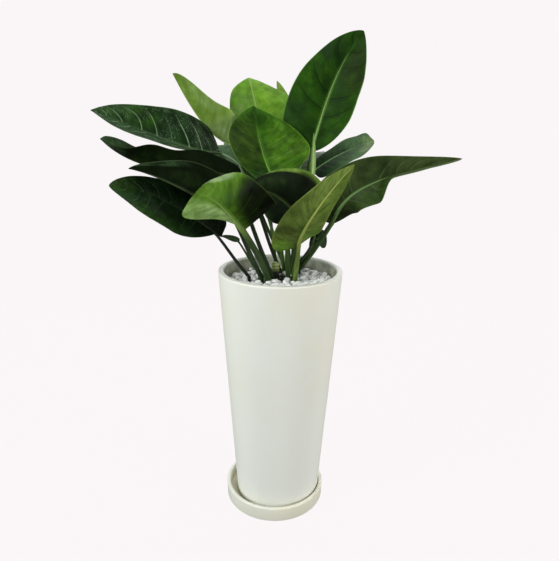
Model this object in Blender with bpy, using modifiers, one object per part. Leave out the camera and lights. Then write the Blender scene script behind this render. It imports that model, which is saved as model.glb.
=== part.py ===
"""Potted philodendron: a tapered planter on a saucer, filled with soil and marble chips, and twenty leaves.

Metres, +Z up. The origin is the centre of the saucer's flat underside. The viewer stands on -Y.
"""
import math
import random

import bmesh
import bpy
from mathutils import Vector

for item in list(bpy.data.objects):
    bpy.data.objects.remove(item, do_unlink=True)

GAP = 0.0003

SAUCER_FOOT_RADIUS = 0.1045
SAUCER_RIM_RADIUS = 0.1052
SAUCER_INNER_RADIUS = 0.0975
SAUCER_HEIGHT = 0.031
SAUCER_FLOOR = 0.013
SAUCER_EDGE = 0.003

POT_X = 0.0065
POT_FOOT_Z = SAUCER_FLOOR + GAP
POT_HEIGHT = 0.500
POT_FOOT_RADIUS = 0.0883
POT_RIM_RADIUS = 0.123
POT_WALL = 0.0115
POT_FLOOR = 0.014
POT_EDGE = 0.004
DRAIN_RADIUS = 0.010
TURN_STEPS = 36

SOIL_TOP = 0.470
BED_TOP = 0.485
PEBBLE_BED_RADIUS = 0.1035
CHIP_SPACING = 0.0165
CHIP_SIZES = (0.0072, 0.0100)
CHIP_SEED = 11

STALK_BOTTOM = 0.405
STALK_CLEAR_Z = 0.497
STALK_BOW = -0.12
STALK_BEND = 0.25
STALK_SIDES = 6
STALK_POINTS = 6
RIB_POINTS = 4
RIB_END = 0.82
RIB_TIP_RADIUS = 0.0011

BLADE_THICKNESS = 0.0016
BLADE_ROWS = 10
BLADE_COLUMNS = 4

CROWN_PLACE = (-0.004, 0.026)
CROWN_RADIUS = 0.0085
CROWN_TOP = 0.520

OVATE = (0.55, 0.95)

# Colour and roughness of the leaves.
TONES = {
    "bright": ((0.16, 0.33, 0.06), 0.4),
    "mid": ((0.05, 0.15, 0.02), 0.35),
    "dark": ((0.012, 0.04, 0.012), 0.3),
    "grey": ((0.05, 0.12, 0.05), 0.35),
}

# One entry per leaf. foot: where the stalk leaves the pebbles. stalk: its radius there. tone: its green.
# bow: how far the stalk arches up, where it isn't STALK_BOW.
# rib: the midrib as a cubic curve, base to tip. face: the way the upper side looks at base and tip.
# The pairs are (left, right) looking from base to tip at the upper side: half widths, lift of each
# half above the face plane in degrees along the rib, curl in degrees, outline exponents at base and
# tip, wave of the margin (height, waves, phase) and how far the basal lobes reach back.
LEAVES = {
    "crest": dict(
        foot=(0.029, 0.044), stalk=0.0042, tone="mid",
        rib=((0.065, 0.07, 0.736), (0.094, 0.084, 0.842), (0.111, 0.082, 0.897), (0.153, 0.052, 0.952)),
        face=((-0.15, -1, 0.3), (-0.15, -1, 0.2)),
        half=(0.076, 0.068), lift=((13, 13, 8), (-4, 20, -1)), curl=(18, -22),
        shape=((0.23, 0.72), (0.66, 0.79)), wave=(0.004, 2.0, 0.3), lobe=(0, 0)),
    "centre": dict(
        foot=(0.022, 0.01), stalk=0.005, tone="mid",
        rib=((0.01, -0.02, 0.674), (-0.022, 0.01, 0.682), (-0.041, 0.05, 0.762), (-0.05, 0.07, 0.82)),
        face=((0.37, -0.9, 0.3), (0.3, -0.9, 0.3)),
        half=(0.066, 0.094), lift=((22, 22), (23, 22)), curl=(21, 29),
        shape=((1.63, 0.99), (1.3, 1.19)), wave=(0.003, 2.0, 0.1), lobe=(0, 0)),
    "back_dome": dict(
        foot=(0.013, 0.062), stalk=0.0038, tone="bright",
        rib=((-0.01, 0.086, 0.714), (-0.06, 0.097, 0.84), (-0.062, 0.125, 0.926), (-0.07, 0.195, 0.845)),
        face=((0.1, -1, 0.2), (0, 0.5, 1)),
        half=(0.066, 0.077), lift=((-9, -28, -29), (4, -9, 0)), curl=(24, 13),
        shape=((0.22, 0.96), (0.95, 1.69)), wave=(0.003, 1.5, 0.2), lobe=(0, 0)),
    "back_blade": dict(
        foot=(0.027, 0.092), stalk=0.0035, tone="bright",
        rib=((0.008, 0.13, 0.738), (0.022, 0.15, 0.784), (0.009, 0.165, 0.825), (-0.006, 0.165, 0.873)),
        face=((0, -1, 0.2), (0, -1, 0.2)),
        half=(0.012, 0.02), lift=((11, 10), (11, 10)), curl=(15, 15),
        shape=((0.56, 0.81), (0.7, 0.79)), wave=(0.002, 1.5, 0.2), lobe=(0, 0)),
    "left_flag": dict(
        foot=(0.015, 0.076), stalk=0.0035, tone="bright",
        rib=((-0.068, 0.06, 0.741), (-0.112, 0.065, 0.752), (-0.143, 0.07, 0.758), (-0.2, 0.05, 0.875)),
        face=((0.6, 0.5, 0.5), (0.6, 0.5, 0.5)),
        half=(0.058, 0.051), lift=((45, 46, 48), (51, 62, 34)), curl=(5, 12),
        shape=((0.36, 0.56), (2.2, 0.54)), wave=(0.003, 2.0, 0.1), lobe=(0, 0)),
    "left_high": dict(
        foot=(-0.01, 0.01), stalk=0.0045, tone="dark",
        rib=((-0.108, 0.005, 0.733), (-0.165, -0.02, 0.731), (-0.266, -0.06, 0.789),
             (-0.314, -0.08, 0.805)),
        face=((0, -0.7, 0.7), (0, -0.7, 0.7)),
        half=(0.044, 0.081), lift=((52, 22), (5, 39)), curl=(5, 16),
        shape=((0.72, 1.06), (0.2, 1)), wave=(0.002, 2.0, 0.1), lobe=(0, 0)),
    "left_mid": dict(
        foot=(0.006, 0.05), stalk=0.0038, tone="dark",
        rib=((-0.068, -0.02, 0.699), (-0.15, -0.06, 0.701), (-0.245, -0.09, 0.703), (-0.295, -0.1, 0.76)),
        face=((0, 0.3, 0.95), (0, -0.1, 0.95)),
        half=(0.04, 0.042), lift=((70, 70, 30), (60, 50, 30)), curl=(5, 15),
        shape=((0.5, 0.6), (0.5, 0.35)), wave=(0.0035, 2.6, 0.54), lobe=(0, 0)),
    "left_low": dict(
        foot=(-0.031, -0.004), stalk=0.0052, tone="dark",
        rib=((-0.086, -0.03, 0.627), (-0.125, -0.085, 0.655), (-0.185, -0.125, 0.705), (-0.24, -0.14, 0.715)),
        face=((0, 0.3, 0.95), (0, 0.3, 0.95)),
        half=(0.055, 0.036), lift=((65, 60, 50), (55, 55, 55)), curl=(5, 25),
        shape=((0.4, 0.9), OVATE), wave=(0.002, 2.0, 0.1), lobe=(0, 0)),
    "left_base": dict(
        foot=(-0.055, -0.005), stalk=0.0035, tone="dark",
        rib=((-0.117, -0.02, 0.586), (-0.16, -0.05, 0.624), (-0.212, -0.09, 0.682), (-0.28, -0.12, 0.685)),
        face=((-0.1, -0.8, 0.6), (-0.1, -0.8, 0.6)),
        half=(0.079, 0.045), lift=((39, 34), (14, 11)), curl=(5, 16),
        shape=((1.05, 0.68), (0.2, 0.6)), wave=(0.003, 2.0, 0.1), lobe=(0, 0.014)),
    "front_left": dict(
        foot=(-0.018, -0.01), stalk=0.0068, bow=0.18, tone="bright",
        rib=((-0.056, -0.125, 0.614), (-0.068, -0.14, 0.628), (-0.085, -0.145, 0.664),
             (-0.136, -0.115, 0.677)),
        face=((0.3, -0.85, 0.4), (0, -0.5, 1)),
        half=(0.051, 0.074), lift=((0, -20, -12), (42, 53, 15)), curl=(23, 9),
        shape=((2.2, 0.15), (0.1, 0.28)), wave=(0.001, 2.0, 0.1), lobe=(0, 0)),
    "front_dark": dict(
        foot=(0.035, 0.066), stalk=0.003, tone="dark",
        rib=((0.069, -0.055, 0.593), (0.009, -0.065, 0.661), (-0.007, -0.063, 0.68),
             (-0.067, -0.055, 0.677)),
        face=((-0.1, -0.8, 0.6), (-0.1, -0.8, 0.6)),
        half=(0.054, 0.071), lift=((21, 19), (31, 30)), curl=(0, 21),
        shape=((1.8, 2.1), (0.63, 1.39)), wave=(0.002, 2.0, 0.1), lobe=(0, 0)),
    "front_right": dict(
        foot=(0.036, -0.013), stalk=0.0046, tone="bright",
        rib=((0.039, -0.07, 0.577), (0.037, -0.1, 0.602), (0.076, -0.13, 0.673), (0.125, -0.12, 0.725)),
        face=((-0.1, 0.9, 0.2), (-0.1, 0.9, 0.2)),
        half=(0.038, 0.05), lift=((33, 26), (3, 22)), curl=(11, 14),
        shape=((0.16, 0.63), (0.16, 0.85)), wave=(0.002, 2.0, 0.1), lobe=(0, 0.008)),
    "right_long": dict(
        foot=(0.043, 0.052), stalk=0.006, tone="dark",
        rib=((0.099, -0.03, 0.61), (0.124, -0.06, 0.686), (0.174, -0.07, 0.698), (0.31, -0.09, 0.735)),
        face=((-0.1, -0.6, 0.75), (-0.1, -0.7, 0.7)),
        half=(0.057, 0.038), lift=((46, 47), (-28, -44, -9, -14, 60, 55, 52)), curl=(4, 23),
        shape=((0.23, 0.85), (0.64, 0.52)), wave=(0.002, 2.0, 0.1), lobe=(0, 0)),
    "right_back": dict(
        foot=(0.04, 0.088), stalk=0.0036, tone="grey",
        rib=((0.069, 0.085, 0.694), (0.118, 0.1, 0.734), (0.164, 0.12, 0.741), (0.195, 0.14, 0.76)),
        face=((-0.2, -0.7, 0.7), (0, -0.4, 0.9)),
        half=(0.024, 0.032), lift=((19, 36), (7, -3)), curl=(10, 16),
        shape=((0.3, 0.17), (0.16, 0.42)), wave=(0.002, 2.0, 0.1), lobe=(0, 0)),
    "young_right": dict(
        foot=(0.033, 0.029), stalk=0.003, tone="bright",
        rib=((0.065, 0.008, 0.684), (0.067, 0.012, 0.712), (0.067, 0.016, 0.741), (0.065, 0.016, 0.772)),
        face=((0.1, -1, 0.2), (0.1, -1, 0.2)),
        half=(0.006, 0.004), lift=((-25, -25), (20, 20)), curl=(15, 15),
        shape=(OVATE, OVATE), wave=(0, 2.0, 0.1), lobe=(0, 0)),
    "back_left": dict(
        foot=(0.016, 0.087), stalk=0.0035, tone="grey",
        rib=((-0.08, 0.1, 0.705), (-0.11, 0.12, 0.73), (-0.145, 0.15, 0.735), (-0.19, 0.17, 0.725)),
        face=((0, -0.4, 0.9), (0, -0.4, 0.9)),
        half=(0.045, 0.045), lift=((10, 10), (10, 10)), curl=(15, 15),
        shape=(OVATE, OVATE), wave=(0.002, 2.0, 0.1), lobe=(0, 0)),
    "low_right": dict(
        foot=(0.051, 0.082), stalk=0.003, tone="dark",
        rib=((0.068, 0.05, 0.538), (0.077, 0.048, 0.569), (0.091, 0.04, 0.594), (0.093, 0.034, 0.548)),
        face=((0.2, -0.6, 0.8), (0.5, -0.8, 0.2)),
        half=(0.013, 0.016), lift=((5, 5), (5, 5)), curl=(5, 5),
        shape=((0.55, 0.4), (0.55, 0.4)), wave=(0.001, 2.0, 0.1), lobe=(0, 0)),
    "low_back": dict(
        foot=(-0.036, 0.016), stalk=0.0026, tone="dark",
        rib=((-0.079, 0.045, 0.557), (-0.087, 0.052, 0.561), (-0.1, 0.06, 0.563), (-0.121, 0.065, 0.564)),
        face=((0, -0.35, 0.95), (0, -0.35, 0.95)),
        half=(0.009, 0.009), lift=((0, 0), (0, 0)), curl=(5, 5),
        shape=(OVATE, OVATE), wave=(0, 2.0, 0.1), lobe=(0, 0)),
    "rear_left": dict(
        foot=(-0.002, 0.066), stalk=0.0038, tone="mid",
        rib=((-0.026, 0.1, 0.668), (-0.06, 0.16, 0.735), (-0.09, 0.24, 0.755), (-0.115, 0.31, 0.725)),
        face=((0, -0.6, 0.8), (0, 0.2, 1)),
        half=(0.052, 0.052), lift=((15, 15), (15, 15)), curl=(15, 15),
        shape=(OVATE, OVATE), wave=(0.003, 2.0, 0.1), lobe=(0, 0)),
    "rear_right": dict(
        foot=(0.031, 0.076), stalk=0.0038, tone="mid",
        rib=((0.04, 0.115, 0.678), (0.05, 0.16, 0.715), (0.065, 0.24, 0.735), (0.1, 0.3, 0.715)),
        face=((0, -0.6, 0.8), (0, 0.2, 1)),
        half=(0.05, 0.05), lift=((15, 15), (15, 15)), curl=(15, 15),
        shape=(OVATE, OVATE), wave=(0.003, 2.0, 0.1), lobe=(0, 0)),
}

PART = bpy.data.collections.new("potted_philodendron")
CUTTERS = bpy.data.collections.new("cutters")
bpy.context.scene.collection.children.link(PART)
bpy.context.scene.collection.children.link(CUTTERS)


def principled(name, colour, roughness):
    """A material of its own for one piece."""
    material = bpy.data.materials.new(name)
    material.use_nodes = True
    shader = material.node_tree.nodes["Principled BSDF"]
    shader.inputs["Base Color"].default_value = (*colour, 1)
    shader.inputs["Roughness"].default_value = roughness
    return material


def mesh_object(name, bm, collection=PART, material=None):
    """Put a bmesh into a named object."""
    mesh = bpy.data.meshes.new(name)
    bm.to_mesh(mesh)
    bm.free()
    item = bpy.data.objects.new(name, mesh)
    collection.objects.link(item)
    if material is not None:
        mesh.materials.append(material)
    return item


def keep_modifiers(item):
    """Turn what the modifiers give into the object's own mesh."""
    graph = bpy.context.evaluated_depsgraph_get()
    mesh = bpy.data.meshes.new_from_object(item.evaluated_get(graph))
    item.modifiers.clear()
    item.data = mesh


def turned(name, profile, material, closed=False):
    """A profile in the XZ plane spun about the vertical axis."""
    bm = bmesh.new()
    points = [bm.verts.new((x, 0, z)) for x, z in profile]
    for first, second in zip(points, points[1:]):
        bm.edges.new((first, second))
    if closed:
        bm.edges.new((points[-1], points[0]))
    item = mesh_object(name, bm, material=material)
    screw = item.modifiers.new("turn", "SCREW")
    screw.steps = TURN_STEPS
    screw.render_steps = TURN_STEPS
    screw.use_merge_vertices = True
    screw.merge_threshold = 0.00005
    return item


def rounded(corner, start, end, radius, steps=2):
    """Points that round one profile corner between its two neighbours."""
    corner, start, end = Vector(corner), Vector(start), Vector(end)
    to_start, to_end = (start - corner).normalized(), (end - corner).normalized()
    half = to_start.angle(to_end) / 2
    reach = radius / math.tan(half)
    centre = corner + (to_start + to_end).normalized() * radius / math.sin(half)
    first, last = corner + to_start * reach - centre, corner + to_end * reach - centre
    return [tuple(centre + first.slerp(last, k / steps).normalized() * radius) for k in range(steps + 1)]


def smooth_profile(points, radii):
    """A profile with some of its corners rounded."""
    count = len(points)
    result = []
    for index, point in enumerate(points):
        if radii[index] > 0:
            result += rounded(point, points[index - 1], points[(index + 1) % count], radii[index])
        else:
            result.append(point)
    return result


def make_saucer(material):
    points = [
        (0, SAUCER_FLOOR), (SAUCER_INNER_RADIUS - 0.0015, SAUCER_FLOOR), (SAUCER_INNER_RADIUS, SAUCER_HEIGHT),
        (SAUCER_RIM_RADIUS, SAUCER_HEIGHT), (SAUCER_FOOT_RADIUS, 0), (0, 0)]
    return turned("saucer", smooth_profile(points, (0, 0, SAUCER_EDGE, SAUCER_EDGE, 0.0015, 0)), material)


def pot_inner_radius(z):
    """Radius of the pot's inside at a height above the origin."""
    share = (z - POT_FOOT_Z) / POT_HEIGHT
    return POT_FOOT_RADIUS + (POT_RIM_RADIUS - POT_FOOT_RADIUS) * share - POT_WALL


def make_pot(material):
    top, floor = POT_FOOT_Z + POT_HEIGHT, POT_FOOT_Z + POT_FLOOR
    points = [
        (POT_RIM_RADIUS, top), (POT_FOOT_RADIUS, POT_FOOT_Z), (DRAIN_RADIUS, POT_FOOT_Z),
        (DRAIN_RADIUS, floor), (pot_inner_radius(floor), floor), (pot_inner_radius(top), top)]
    profile = smooth_profile(points, (POT_EDGE, 0.003, 0, 0, 0.004, POT_EDGE))
    pot = turned("pot", profile, material, closed=True)
    pot.location.x = POT_X
    return pot


def make_soil(material):
    bottom = POT_FOOT_Z + POT_FLOOR + GAP
    lowest = bottom + 0.004
    profile = [
        (0, SOIL_TOP), (pot_inner_radius(SOIL_TOP) - GAP, SOIL_TOP), (pot_inner_radius(lowest) - GAP, lowest),
        (pot_inner_radius(lowest) - 0.005, bottom), (0, bottom)]
    soil = turned("soil", profile, material)
    soil.location.x = POT_X
    keep_modifiers(soil)
    return soil


def make_chip(bm, centre, size, dice):
    """One angular stone: a squashed icosphere with its corners pushed about."""
    made = bmesh.ops.create_icosphere(bm, subdivisions=1, radius=size)["verts"]
    stretch = Vector((dice.uniform(0.8, 1.25), dice.uniform(0.75, 1.1), dice.uniform(0.6, 0.85)))
    turn = dice.uniform(0, math.tau)
    for vertex in made:
        push = dice.uniform(0.8, 1.12)
        x, y, z = (vertex.co[k] * stretch[k] * push for k in range(3))
        place = (x * math.cos(turn) - y * math.sin(turn), x * math.sin(turn) + y * math.cos(turn), z)
        vertex.co = Vector(centre) + Vector(place)


def chip_places(dice):
    """Seeded places for the chips on a loose hexagonal grid, away from the stalks and the wall."""
    feet = [(*leaf["foot"], leaf["stalk"]) for leaf in LEAVES.values()] + [(*CROWN_PLACE, CROWN_RADIUS)]
    places = []
    for row in range(-8, 9):
        for column in range(-8, 9):
            size = dice.uniform(*CHIP_SIZES)
            x = (column + 0.5 * (row % 2)) * CHIP_SPACING + dice.uniform(-0.002, 0.002) + POT_X
            y = row * CHIP_SPACING * 0.87 + dice.uniform(-0.002, 0.002)
            z = BED_TOP + dice.uniform(0.0005, 0.0035)
            inside = math.hypot(x - POT_X, y) + size * 1.3 < PEBBLE_BED_RADIUS
            clear = all(math.hypot(x - fx, y - fy) > size * 1.3 + radius + 0.002 for fx, fy, radius in feet)
            if inside and clear:
                places.append(((x, y, z), size))
    return places


def make_pebbles(material):
    """The bed of chips: a disc with stones standing out of it, joined into one body."""
    dice = random.Random(CHIP_SEED)
    bottom = SOIL_TOP + GAP
    low = pot_inner_radius(bottom) - GAP
    high = pot_inner_radius(BED_TOP) - GAP
    bed = turned("pebbles", [(0, BED_TOP), (high, BED_TOP), (low, bottom), (0, bottom)], material)
    bed.location.x = POT_X
    keep_modifiers(bed)
    chips = bpy.data.collections.new("chips")
    bpy.context.scene.collection.children.link(chips)
    for place, size in chip_places(dice):
        bm = bmesh.new()
        make_chip(bm, place, size, dice)
        mesh_object("chip", bm, collection=chips)
    join(bed, chips)
    return bed


def join(item, collection):
    """Fuse a collection's objects into one object and drop them."""
    union = item.modifiers.new("join", "BOOLEAN")
    union.operation = "UNION"
    union.solver = "MANIFOLD"
    union.operand_type = "COLLECTION"
    union.collection = collection
    keep_modifiers(item)
    for other in list(collection.objects):
        bpy.data.objects.remove(other, do_unlink=True)
    bpy.data.collections.remove(collection)


def cut_hole(place, radius, sides=8):
    """A plain round blind hole for one stalk through the pebbles into the soil."""
    low, high = STALK_BOTTOM - GAP, STALK_CLEAR_Z + 0.03
    bpy.ops.mesh.primitive_cylinder_add(
        vertices=sides, radius=(radius + GAP) / math.cos(math.pi / sides), depth=high - low,
        location=(place[0], place[1], (low + high) / 2))
    cutter = bpy.context.object
    for owner in list(cutter.users_collection):
        owner.objects.unlink(cutter)
    CUTTERS.objects.link(cutter)
    cutter.name = "stalk_hole"
    cutter.hide_render = True
    cutter.display_type = "WIRE"
    return cutter


def cut_holes(items):
    for leaf in LEAVES.values():
        cut_hole(leaf["foot"], leaf["stalk"])
    cut_hole(CROWN_PLACE, CROWN_RADIUS, sides=16)
    for item in items:
        cut = item.modifiers.new("stalk_holes", "BOOLEAN")
        cut.operation = "DIFFERENCE"
        cut.solver = "MANIFOLD"
        cut.operand_type = "COLLECTION"
        cut.collection = CUTTERS


def make_crown(material):
    """The short ringed stem at the heart of the plant."""
    profile = [(0, CROWN_TOP), (CROWN_RADIUS * 0.6, CROWN_TOP - 0.002)]
    for level in range(3):
        z = CROWN_TOP - 0.006 - 0.006 * level
        profile += [(CROWN_RADIUS, z), (CROWN_RADIUS * 0.86, z - 0.003)]
    profile += [(CROWN_RADIUS, 0.497), (CROWN_RADIUS, STALK_BOTTOM), (0, STALK_BOTTOM)]
    crown = turned("crown_stem", profile, material)
    crown.location = (*CROWN_PLACE, 0)
    crown.modifiers["turn"].steps = 16
    crown.modifiers["turn"].render_steps = 16
    return crown


def bezier(points, t):
    """A point of a cubic curve."""
    a, b, c, d = (Vector(point) for point in points)
    return a * (1 - t)**3 + b * 3 * t * (1 - t)**2 + c * 3 * t**2 * (1 - t) + d * t**3


def bezier_slope(points, t):
    """The unit direction of a cubic curve."""
    a, b, c, d = (Vector(point) for point in points)
    return ((b - a) * (1 - t)**2 + (c - b) * 2 * t * (1 - t) + (d - c) * t**2).normalized()


def stations(values, t):
    """Values given at even stations along the rib, eased from one to the next."""
    spans = len(values) - 1
    place = min(max(t, 0), 1) * spans
    index = min(int(place), spans - 1)
    share = place - index
    share = share * share * (3 - 2 * share)
    return values[index] * (1 - share) + values[index + 1] * share


def outline(t, shape):
    """Half width along the rib as a share of the widest, 0 at base and tip."""
    base, tip = shape
    peak = base / (base + tip)
    return (t / peak)**base * ((1 - t) / (1 - peak))**tip


def rib_frame(leaf, t):
    """Place, direction, upper-side normal and right-hand side of the rib."""
    place, along = bezier(leaf["rib"], t), bezier_slope(leaf["rib"], t)
    share = 3 * t**2 - 2 * t**3
    face = Vector(leaf["face"][0]) * (1 - share) + Vector(leaf["face"][1]) * share
    up = (face - along * face.dot(along)).normalized()
    return place, along, up, along.cross(up)


def blade_point(leaf, t, s):
    """A point of the blade: t runs from base to tip, s from the left margin to the right one."""
    side = 0 if s < 0 else 1
    place, along, up, right = rib_frame(leaf, t)
    out = leaf["half"][side] * outline(t, leaf["shape"][side]) * abs(s)
    angle = math.radians(stations(leaf["lift"][side], t) - leaf["curl"][side] * abs(s) / 2)
    height, waves, phase = leaf["wave"]
    ripple = height * s * s * math.sin(math.tau * (waves * t + phase + 0.37 * side))
    ripple *= math.sqrt(max(math.sin(math.pi * t), 0))
    back = leaf["lobe"][side] * s * s * (1 - t)**4
    side_step = right * math.copysign(out * math.cos(angle), s)
    return place + side_step + up * (out * math.sin(angle) + ripple) - along * back


def row_place(index, rows):
    """Rows along the blade, a little closer at both ends."""
    u = index / rows
    return 0.3 * (1 - math.cos(math.pi * u)) + 0.4 * u


def make_blade(name, leaf, material):
    """The blade as a grid of triangles with its thickness added."""
    bm = bmesh.new()
    grid = []
    for row in range(BLADE_ROWS + 1):
        t = row_place(row, BLADE_ROWS)
        places = [blade_point(leaf, t, 2 * column / BLADE_COLUMNS - 1) for column in range(BLADE_COLUMNS + 1)]
        grid.append([bm.verts.new(place) for place in places])
    for lower, upper in zip(grid, grid[1:]):
        for column in range(BLADE_COLUMNS):
            bm.faces.new((lower[column], upper[column], upper[column + 1], lower[column + 1]))
    bmesh.ops.remove_doubles(bm, verts=bm.verts, dist=0.0001)
    bmesh.ops.triangulate(bm, faces=bm.faces)
    blade = mesh_object(name, bm, material=material)
    solid = blade.modifiers.new("thickness", "SOLIDIFY")
    solid.thickness = BLADE_THICKNESS
    solid.offset = 0
    keep_modifiers(blade)
    return blade


def stalk_points(leaf):
    """Places and radii of the stalk from its buried end up to the blade and along the rib's underside."""
    x, y = leaf["foot"]
    radius = leaf["stalk"]
    foot, base = Vector((x, y, STALK_CLEAR_Z)), Vector(leaf["rib"][0])
    span = (base - foot).length
    lean = (base - foot).normalized()
    rise = (lean + Vector((0, 0, leaf.get("bow", STALK_BOW)))).normalized()
    into = (bezier_slope(leaf["rib"], 0) * STALK_BEND + lean).normalized()
    curve = (foot, foot + rise * span * 0.4, base - into * span * 0.3, base)
    points = [(Vector((x, y, STALK_BOTTOM)), radius), (foot, radius)]
    for step in range(1, STALK_POINTS):
        share = step / STALK_POINTS
        points.append((bezier(curve, share), radius * (1 - 0.25 * share)))
    for step in range(RIB_POINTS + 1):
        share = step / RIB_POINTS
        t = RIB_END * share
        place, along, up, right = rib_frame(leaf, t)
        thick = radius * 0.75 * (1 - share) + RIB_TIP_RADIUS * share
        points.append((place - up * thick * 0.5, thick))
    return points


def make_stalk(leaf):
    """The stalk and midrib as one tapering round tube with capped ends."""
    curve = bpy.data.curves.new("stalk", "CURVE")
    curve.dimensions = "3D"
    curve.bevel_depth = 1
    curve.bevel_resolution = (STALK_SIDES - 4) // 2
    curve.use_fill_caps = True
    spline = curve.splines.new("POLY")
    points = stalk_points(leaf)
    spline.points.add(len(points) - 1)
    for target, (place, radius) in zip(spline.points, points):
        target.co = (*place, 1)
        target.radius = radius
    line = bpy.data.objects.new("stalk_line", curve)
    PART.objects.link(line)
    mesh = bpy.data.meshes.new_from_object(line.evaluated_get(bpy.context.evaluated_depsgraph_get()))
    bm = bmesh.new()
    bm.from_mesh(mesh)
    bmesh.ops.remove_doubles(bm, verts=bm.verts, dist=0.00001)
    bmesh.ops.recalc_face_normals(bm, faces=bm.faces)
    bpy.data.objects.remove(line, do_unlink=True)
    return bm


def make_leaf(name, leaf):
    """One leaf on its stalk as a single body."""
    material = principled("leaf_" + name, *TONES[leaf["tone"]])
    blade = make_blade("leaf_" + name, leaf, material)
    stalks = bpy.data.collections.new("stalks")
    bpy.context.scene.collection.children.link(stalks)
    mesh_object("stalk", make_stalk(leaf), collection=stalks)
    join(blade, stalks)
    return blade


make_saucer(principled("saucer_glaze", (0.78, 0.77, 0.69), 0.35))
make_pot(principled("pot_glaze", (0.80, 0.81, 0.74), 0.35))
soil_bed = make_soil(principled("potting_soil", (0.05, 0.035, 0.025), 0.9))
pebble_bed = make_pebbles(principled("marble_chips", (0.82, 0.82, 0.80), 0.5))
cut_holes([soil_bed, pebble_bed])
make_crown(principled("crown_bark", (0.30, 0.33, 0.14), 0.6))
for leaf_name, leaf_shape in LEAVES.items():
    make_leaf(leaf_name, leaf_shape)
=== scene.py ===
"""Potted philodendron, dressed: glazed planter and saucer, marble chips, and veined leaves with midribs."""

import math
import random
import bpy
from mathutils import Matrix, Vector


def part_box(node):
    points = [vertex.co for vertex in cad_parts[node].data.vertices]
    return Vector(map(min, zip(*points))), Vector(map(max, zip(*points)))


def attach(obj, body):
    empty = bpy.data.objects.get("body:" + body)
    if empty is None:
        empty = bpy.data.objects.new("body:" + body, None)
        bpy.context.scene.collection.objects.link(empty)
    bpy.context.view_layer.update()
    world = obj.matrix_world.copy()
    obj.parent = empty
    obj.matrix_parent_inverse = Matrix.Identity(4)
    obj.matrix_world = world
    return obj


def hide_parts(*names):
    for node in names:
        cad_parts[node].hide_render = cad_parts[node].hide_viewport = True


bl_info = {
    "name": "Potted Philodendron",
    "version": (1, 0, 0),
    "blender": (4, 5, 0),
    "location": "View3D > Sidebar > Philodendron",
    "description": "Dresses the planter, its saucer, the chips and every leaf, and sets the studio",
    "category": "Object",
}

from typing import NamedTuple

import bmesh
import bpy
from bpy.props import FloatProperty, FloatVectorProperty, IntProperty, PointerProperty
from mathutils import Matrix, Vector, noise

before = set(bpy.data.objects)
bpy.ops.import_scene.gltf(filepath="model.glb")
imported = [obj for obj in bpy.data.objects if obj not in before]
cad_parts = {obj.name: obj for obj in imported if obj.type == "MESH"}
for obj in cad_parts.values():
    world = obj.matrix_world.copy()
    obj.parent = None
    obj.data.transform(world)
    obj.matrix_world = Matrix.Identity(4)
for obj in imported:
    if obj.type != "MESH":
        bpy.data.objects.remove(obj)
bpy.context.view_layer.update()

# Turned pieces: how thick their floors are, how much the saucer's hollow narrows, what rounding takes
# off the saucer's rim, and the rounded edges, size and faces (the saucer's rim, inner rim, foot, floor).
POT_LOW, POT_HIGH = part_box("pot")
POT_X = (POT_LOW.x + POT_HIGH.x) / 2
POT_RIM = (POT_HIGH.x - POT_LOW.x) / 2
POT_FLOOR = 0.014
POT_INNER_LIP = 0.9
LIP_FACES = 6
POT_FOOT_EDGE = (0.003, 4)
POT_FLOOR_EDGE = (0.004, 3)
SAUCER_LOW, SAUCER_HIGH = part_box("saucer")
SAUCER_FLOOR = 0.013
SAUCER_NARROWING = 0.0015
SAUCER_RIM_LOSS = 0.0002
SAUCER_EDGES = ((0.0034, 6), (0.0030, 6), (0.0014, 4), (0.003, 4))

# How near a point counts as at a level, as on a ring of edges, and as another point.
SAME_LEVEL = 0.0001
RING_LEVEL = 0.0002
RING_RADIUS = 0.0006
SAME_POINT = 0.00005

# Where the glaze changes, from one measure to another. The beige-brown tint low in the saucer is measured
# from the saucer's middle and floor, and the painted shade on the inner wall, the painted light towards the
# foot and the painted shade at the lip from the planter's rim.
LOW_TINT_REACH = (0.0965, 0.0985)
LOW_TINT_FOOT = (-0.002, -0.001)
LOW_TINT_TOP = (0.001, 0.014)
INNER_SHADE_REACH = (-0.0105, -0.0080)
INNER_SHADE_TOP = (-0.0045, -0.0015)
INNER_SHADE_FOOT = (-0.058, -0.048)
FOOT_LIGHT_END = -0.12
LIP_SHADE = (-0.0016, -0.0004)

# Crown stem: the heights of its ringed part and its domed top, the steps of one ring and of the top
# (height, scale), its worn edges, and where the ring lines and the painted shade at its foot are, measured
# from its top.
CROWN_LOW, CROWN_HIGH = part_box("crown_stem")
CROWN_PLACE = (-0.004, 0.026)
CROWN_RADIUS = 0.0085
CROWN_SIDES = 24
CROWN_RINGED = 0.018
CROWN_DOME = 0.006
CROWN_RINGS = 3
CROWN_RING = ((0.0028, 0.86), (0.0004, 1.12), (0.0028, 1 / (0.86 * 1.12)))
CROWN_TOP = ((0.003, 0.86), (0.002, 0.70), (0.001, 0.50))
CROWN_WEAR = 0.0005
CROWN_RING_LINE = -0.009
CROWN_RING_HALF = 0.003
CROWN_FOOT_SHADE = (-0.022, -0.010)

# Chips: the lowest layer, the hollow the others leave round the crown, where the chips also get painted
# shade (x, y, half sizes), the stones (kinds, cuts, ball, depth of a cut, worn edge, flattening), the field
# they are strewn over with its wall, rows, stray and clearance, and the layers (height, rise, share of
# places taken, size).
BED_LEVEL = 0.4785
HOLLOW = (0.010, 0.012, 0.025, 0.018)
CHIP_KINDS = 7
CHIP_CUTS = 6
CHIP_BALL = 1.15
CHIP_CUT_DEPTH = (0.62, 0.9)
CHIP_WEAR = 0.07
CHIP_SQUASH = ((0.9, 1.25), (0.8, 1.05), (0.62, 0.9))
CHIP_FIELD = 0.11
CHIP_WALL = 0.1080
CHIP_ROW = 0.87
CHIP_STRAY = 0.003
CHIP_CLEARANCE = 0.75
CHIP_LAYERS = ((0, 0.002, 1.0, 1.0), (0.006, 0.004, 0.82, 1.0), (0.012, 0.003, 0.28, 0.9))

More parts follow.
